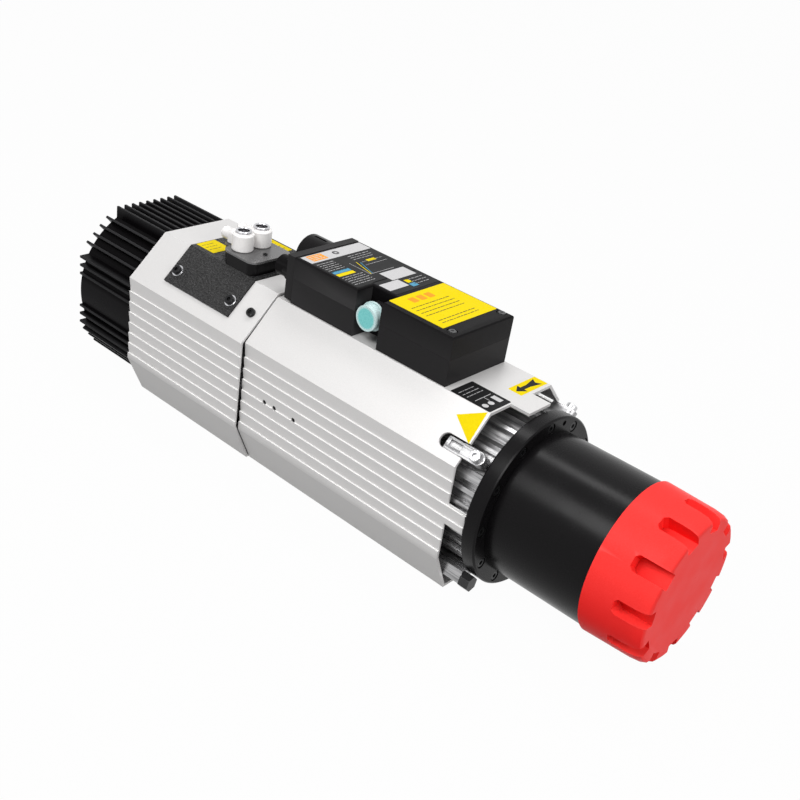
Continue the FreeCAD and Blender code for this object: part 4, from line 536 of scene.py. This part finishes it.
def stroke(a, b, width):
    """A straight bar from a to b."""
    a, b = Vector(a), Vector(b)
    along = (b - a).normalized()
    side = Vector((-along.y, along.x)) * width / 2.0
    return [tuple(a - side), tuple(b - side), tuple(b + side), tuple(a + side)]


def ruled(x0, x1, y0, y1, rows, thick, start, gap=WORD_GAP):
    """Rows of short bars along y, like lines of small print.

    The bars' lengths and the rows' ragged ends follow a count that begins at start; it goes on
    by ROW_COUNT from row to row and by WORD_COUNT from bar to bar.
    """
    shapes = []
    for row in range(rows):
        x = x0 + (x1 - x0) * (row + 0.5) / rows
        y = y0
        count = start + row * ROW_COUNT
        ragged = RAGGED_SHARE * (count * END_TURN % END_KINDS) / END_KINDS
        end = y1 - (y1 - y0) * ragged
        while y < end - LEAST_REST:
            length = SHORTEST_WORD + WORD_GROWTH * (count % WORD_KINDS)
            shapes.append(patch(x - thick / 2.0, x + thick / 2.0, y, min(y + length, end)))
            y += length + gap
            count += WORD_COUNT
    return shapes


def box_labels():
    """The rating label and the notice on the junction box."""
    top = level(BOX_TOP)
    ground("rating_ground", top, [
        soft_patch(-243.0, -176.5, -35.0, 35.4),
        soft_patch(-177.5, -151.5, -17.2, 35.4),
    ], ink)
    print_on("rating_bands", top, [
        patch(-242.4, -228.5, -34.4, 34.8),
        patch(-187.0, -172.0, 1.0, 30.0),
        patch(-171.0, -158.5, -16.4, 6.0),
    ], pale)
    print_on("rating_orange", top, [patch(-241.5, -231.0, -29.5, -13.0)], orange, layer=1)
    print_on("rating_orange_print", top,
             ruled(-240.5, -232.0, -28.5, -14.0, 3, 1.1, 3, 0.8), pale, layer=2)
    print_on("rating_print", top, [
        *ruled(-226.0, -206.0, -33.0, -9.0, 6, 0.5, 2),
        *ruled(-226.5, -216.0, 3.0, 33.0, 3, 0.5, 4),
        *ruled(-197.0, -180.0, -33.0, -2.0, 5, 0.5, 7),
        *ruled(-169.0, -156.0, 12.0, 31.0, 3, 0.5, 5),
        stroke((-214.0, -6.0), (-190.0, -6.0), 0.35),
        stroke((-190.0, -6.0), (-190.0, 22.0), 0.35),
        stroke((-205.0, 4.0), (-205.0, 30.0), 0.3),
        stroke((-211.0, 6.0), (-211.0, 30.0), 0.3),
    ], pale)
    print_on("rating_yellow", top, [
        stroke((-190.0, -5.0), (-213.0, 1.0), 0.7),
        patch(-203.0, -198.5, -33.0, -14.0),
        patch(-213.0, -209.5, 12.0, 22.0),
        patch(-167.5, -162.0, 9.0, 14.0),
    ], yellow)
    print_on("rating_blue", top, [
        stroke((-190.0, -3.4), (-211.0, 4.0), 0.6),
        patch(-208.0, -203.6, -33.0, -14.0),
        patch(-160.5, -155.0, 7.5, 14.5),
    ], blue)
    ground("notice_ground", top, [soft_patch(-147.0, -91.5, -31.0, 35.5)], yellow)
    print_on("notice_bands", top, [
        soft_patch(-141.5, -133.5, y, y + 7.0, TIGHT_CORNER) for y in (-16.0, -6.5, 3.0)
    ], orange)
    print_on("notice_print", top, [
        *ruled(-130.0, -110.0, -26.0, 30.0, 4, 0.8, 4, 0.7),
        *ruled(-104.0, -96.0, -24.0, 20.0, 2, 0.8, 5),
    ], ink)


def skin_labels():
    """The wiring label, the arrow and the triangle at the front of the front skin."""
    top = level(SKIN_TOP)
    ground("plug_ground", top, [soft_patch(-70.0, -32.0, -38.0, -11.3)], ink)
    print_on("plug_print", top, [
        *ruled(-66.0, -54.0, -35.0, -14.0, 3, 0.5, 3),
        disc(-40.0, -33.0, 2.6),
        disc(-40.0, -26.0, 2.6),
        stroke((-49.0, -34.0), (-49.0, -15.0), 0.5),
        stroke((-49.0, -24.0), (-43.0, -24.0), 0.5),
        patch(-46.0, -37.0, -19.5, -14.5),
    ], pale)
    ground("arrow_ground", top, [soft_patch(-46.5, -33.7, 3.5, 38.0, TIGHT_CORNER)], yellow)
    print_on("arrow_print", top, [[
        (-40.1, 5.5), (-35.0, 13.5), (-38.2, 13.5), (-38.2, 21.0), (-35.6, 33.5),
        (-40.1, 30.5), (-44.6, 33.5), (-42.0, 21.0), (-42.0, 13.5), (-45.2, 13.5),
    ]], ink)
    ground("chamfer_mark", slanted, [[(-53.9, 16.0), (-31.8, 1.5), (-33.1, 28.6)]], yellow)


def saddle_labels():
    """The two small labels by the air fittings."""
    top = level(SADDLE_TOP)
    ground("air_ground", top, [
        soft_patch(-374.0, -350.0, -33.0, -12.0, TIGHT_CORNER),
        soft_patch(-352.0, -322.0, 12.0, 36.0, TIGHT_CORNER),
    ], yellow)
    print_on("air_print", top, [
        *ruled(-371.0, -355.0, -31.0, -15.0, 3, 0.7, 4),
        *ruled(-348.0, -326.0, 15.0, 33.0, 4, 0.7, 5),
    ], ink)


# Bright washers under the saddle's screws, in millimetres and degrees
WASHER_INNER, WASHER_OUTER, WASHER_THICK = 2.2, 5.5, 0.8
WASHER_SOFT = WASHER_THICK * 0.45
WASHER_HALFWAY = WASHER_SOFT * 0.3
WASHER_STEPS = 40
WASHER_SMOOTH = 30.0
WASHER_MERGE = 1e-6
SADDLE_TILT = math.radians(43.9)
SADDLE_OUT, SCREW_DOWN = 84.63, 2.0
SCREW_PLACES = (-367.5, -296.5)


def washer(side, x):
    """One ring with a rounded upper rim, square to the saddle's slanted side."""
    made = bmesh.new()
    profile = [(WASHER_INNER, 0.0), (WASHER_OUTER, 0.0),
               (WASHER_OUTER, WASHER_THICK - WASHER_SOFT),
               (WASHER_OUTER - WASHER_HALFWAY, WASHER_THICK - WASHER_HALFWAY),
               (WASHER_OUTER - WASHER_SOFT, WASHER_THICK), (WASHER_INNER, WASHER_THICK)]
    ends = [made.verts.new((radius * MM, 0.0, height * MM)) for radius, height in profile]
    edges = [made.edges.new((ends[k], ends[(k + 1) % len(ends)])) for k in range(len(ends))]
    bmesh.ops.spin(made, geom=ends + edges, cent=(0.0, 0.0, 0.0), axis=(0.0, 0.0, 1.0),
                   angle=math.tau, steps=WASHER_STEPS, use_merge=True, use_duplicate=False)
    bmesh.ops.remove_doubles(made, verts=made.verts, dist=WASHER_MERGE)
    sine, cosine = math.sin(SADDLE_TILT), math.cos(SADDLE_TILT)
    spot = Vector((x, side * (SADDLE_OUT * sine - SCREW_DOWN * cosine),
                   SCREW_DOWN * sine + SADDLE_OUT * cosine))
    turn = Vector((0.0, side * sine, cosine)).to_track_quat("Z", "Y").to_matrix().to_4x4()
    made.transform(Matrix.Translation(spot * MM) @ turn)
    mesh = bpy.data.meshes.new("washer")
    made.to_mesh(mesh)
    made.free()
    return mesh


def saddle_washers():
    """The four washers as one piece."""
    made = bmesh.new()
    for side in (-1.0, 1.0):
        for x in SCREW_PLACES:
            made.from_mesh(washer(side, x))
    bmesh.ops.recalc_face_normals(made, faces=made.faces)
    mesh = bpy.data.meshes.new("saddle_washers")
    made.to_mesh(mesh)
    made.free()
    finished("saddle_washers", mesh, "motor", looks["chrome_ring"], smooth=WASHER_SMOOTH)


# Floor, lamps and camera
FLOOR_REACH = 6.0
FLOOR_HEIGHT = -0.0766
FLOOR_TONE = 0.42
FLOOR_WHITE = 0.975
SKY_LIGHT, SKY_SEEN = 0.32, 1.0
WHITE = (1.0, 1.0, 1.0, 1.0)
HEADING, PITCH, ROLL = math.radians(37.5), math.radians(-28.9), math.radians(9.4)
CAMERA_PLACE = (0.345, -0.6375, 0.464)
SENSOR_WIDTH = 36.0
FOCAL_WIDTHS = 1106.0 / 800.0
FARTHEST = 20.0
LAMPS = {
    "key": dict(spot=(-0.3, -1.15, 1.5), aim=(-0.15, 0.0, 0.0), width=0.9, height=0.7, power=22.0),
    "fill": dict(spot=(1.3, -0.45, 0.75), aim=(0.0, 0.0, 0.0), width=0.6, height=0.6, power=11.0),
    "top": dict(spot=(-0.2, 0.35, 1.5), aim=(-0.2, 0.0, 0.0), width=1.3, height=0.25, power=10.0),
}


def seen_directly(tree):
    """1 for what the camera sees, also in a reflection or through clear plastic."""
    path = tree.nodes.new("ShaderNodeLightPath")
    seen = calculated(tree, "MAXIMUM", path.outputs["Is Camera Ray"],
                      path.outputs["Is Glossy Ray"])
    return calculated(tree, "MAXIMUM", seen, path.outputs["Is Transmission Ray"])


def shown(tree, output, share, hidden, visible):
    """Mix two shaders by a share and show the outcome."""
    mix = tree.nodes.new("ShaderNodeMixShader")
    out = tree.nodes.new(output)
    tree.links.new(share, mix.inputs["Fac"])
    tree.links.new(hidden.outputs[0], mix.inputs[1])
    tree.links.new(visible.outputs[0], mix.inputs[2])
    tree.links.new(mix.outputs["Shader"], out.inputs["Surface"])


def floor():
    """A wide white floor that keeps a faint shadow."""
    made = bpy.data.meshes.new("floor")
    corners = [(x, y, FLOOR_HEIGHT) for x, y in
               patch(-FLOOR_REACH, FLOOR_REACH, -FLOOR_REACH, FLOOR_REACH)]
    made.from_pydata(corners, [], [(0, 1, 2, 3)])
    plane = bpy.data.objects.new("floor", made)
    bpy.context.scene.collection.objects.link(plane)
    look = bpy.data.materials.new("floor")
    look.use_nodes = True
    tree = look.node_tree
    tree.nodes.clear()
    matt = tree.nodes.new("ShaderNodeBsdfDiffuse")
    matt.inputs["Color"].default_value = (FLOOR_TONE, FLOOR_TONE, FLOOR_TONE, 1.0)
    glow = tree.nodes.new("ShaderNodeEmission")
    glow.inputs["Color"].default_value = WHITE
    share = calculated(tree, "MULTIPLY", seen_directly(tree), FLOOR_WHITE)
    shown(tree, "ShaderNodeOutputMaterial", share, matt, glow)
    made.materials.append(look)


def backdrop():
    """White where it is seen, dimmer where it only lights."""
    world = bpy.data.worlds.new("studio")
    world.use_nodes = True
    tree = world.node_tree
    tree.nodes.clear()
    skies = []
    for strength in (SKY_LIGHT, SKY_SEEN):
        sky = tree.nodes.new("ShaderNodeBackground")
        sky.inputs["Color"].default_value = WHITE
        sky.inputs["Strength"].default_value = strength
        skies.append(sky)
    shown(tree, "ShaderNodeOutputWorld", seen_directly(tree), *skies)
    bpy.context.scene.world = world


def lamp(name, spot, aim, width, height, power):
    """A rectangular lamp at a spot, turned to its aim; power in watts."""
    data = bpy.data.lights.new(name, "AREA")
    data.shape = "RECTANGLE"
    data.size = width
    data.size_y = height
    data.energy = power
    made = bpy.data.objects.new(name, data)
    made.location = spot
    way = Vector(aim) - Vector(spot)
    made.rotation_euler = way.to_track_quat("-Z", "Y").to_euler()
    bpy.context.scene.collection.objects.link(made)


def camera():
    """The main view: place, heading, pitch and roll."""
    ahead = Vector((-math.sin(HEADING) * math.cos(PITCH), math.cos(HEADING) * math.cos(PITCH),
                    math.sin(PITCH)))
    sideways = Vector((math.cos(HEADING), math.sin(HEADING), 0.0))
    upward = sideways.cross(ahead)
    right = sideways * math.cos(ROLL) + upward * math.sin(ROLL)
    up = upward * math.cos(ROLL) - sideways * math.sin(ROLL)
    data = bpy.data.cameras.new("camera")
    data.sensor_width = SENSOR_WIDTH
    data.lens = FOCAL_WIDTHS * SENSOR_WIDTH
    data.clip_end = FARTHEST
    made = bpy.data.objects.new("camera", data)
    turn = Matrix((right, up, -ahead)).transposed().to_4x4()
    made.matrix_world = Matrix.Translation(CAMERA_PLACE) @ turn
    bpy.context.scene.collection.objects.link(made)
    bpy.context.scene.camera = made


box_labels()
skin_labels()
saddle_labels()
saddle_washers()
floor()
backdrop()
for name, values in LAMPS.items():
    lamp(name, **values)
camera()
bpy.context.scene.view_settings.view_transform = "Standard"
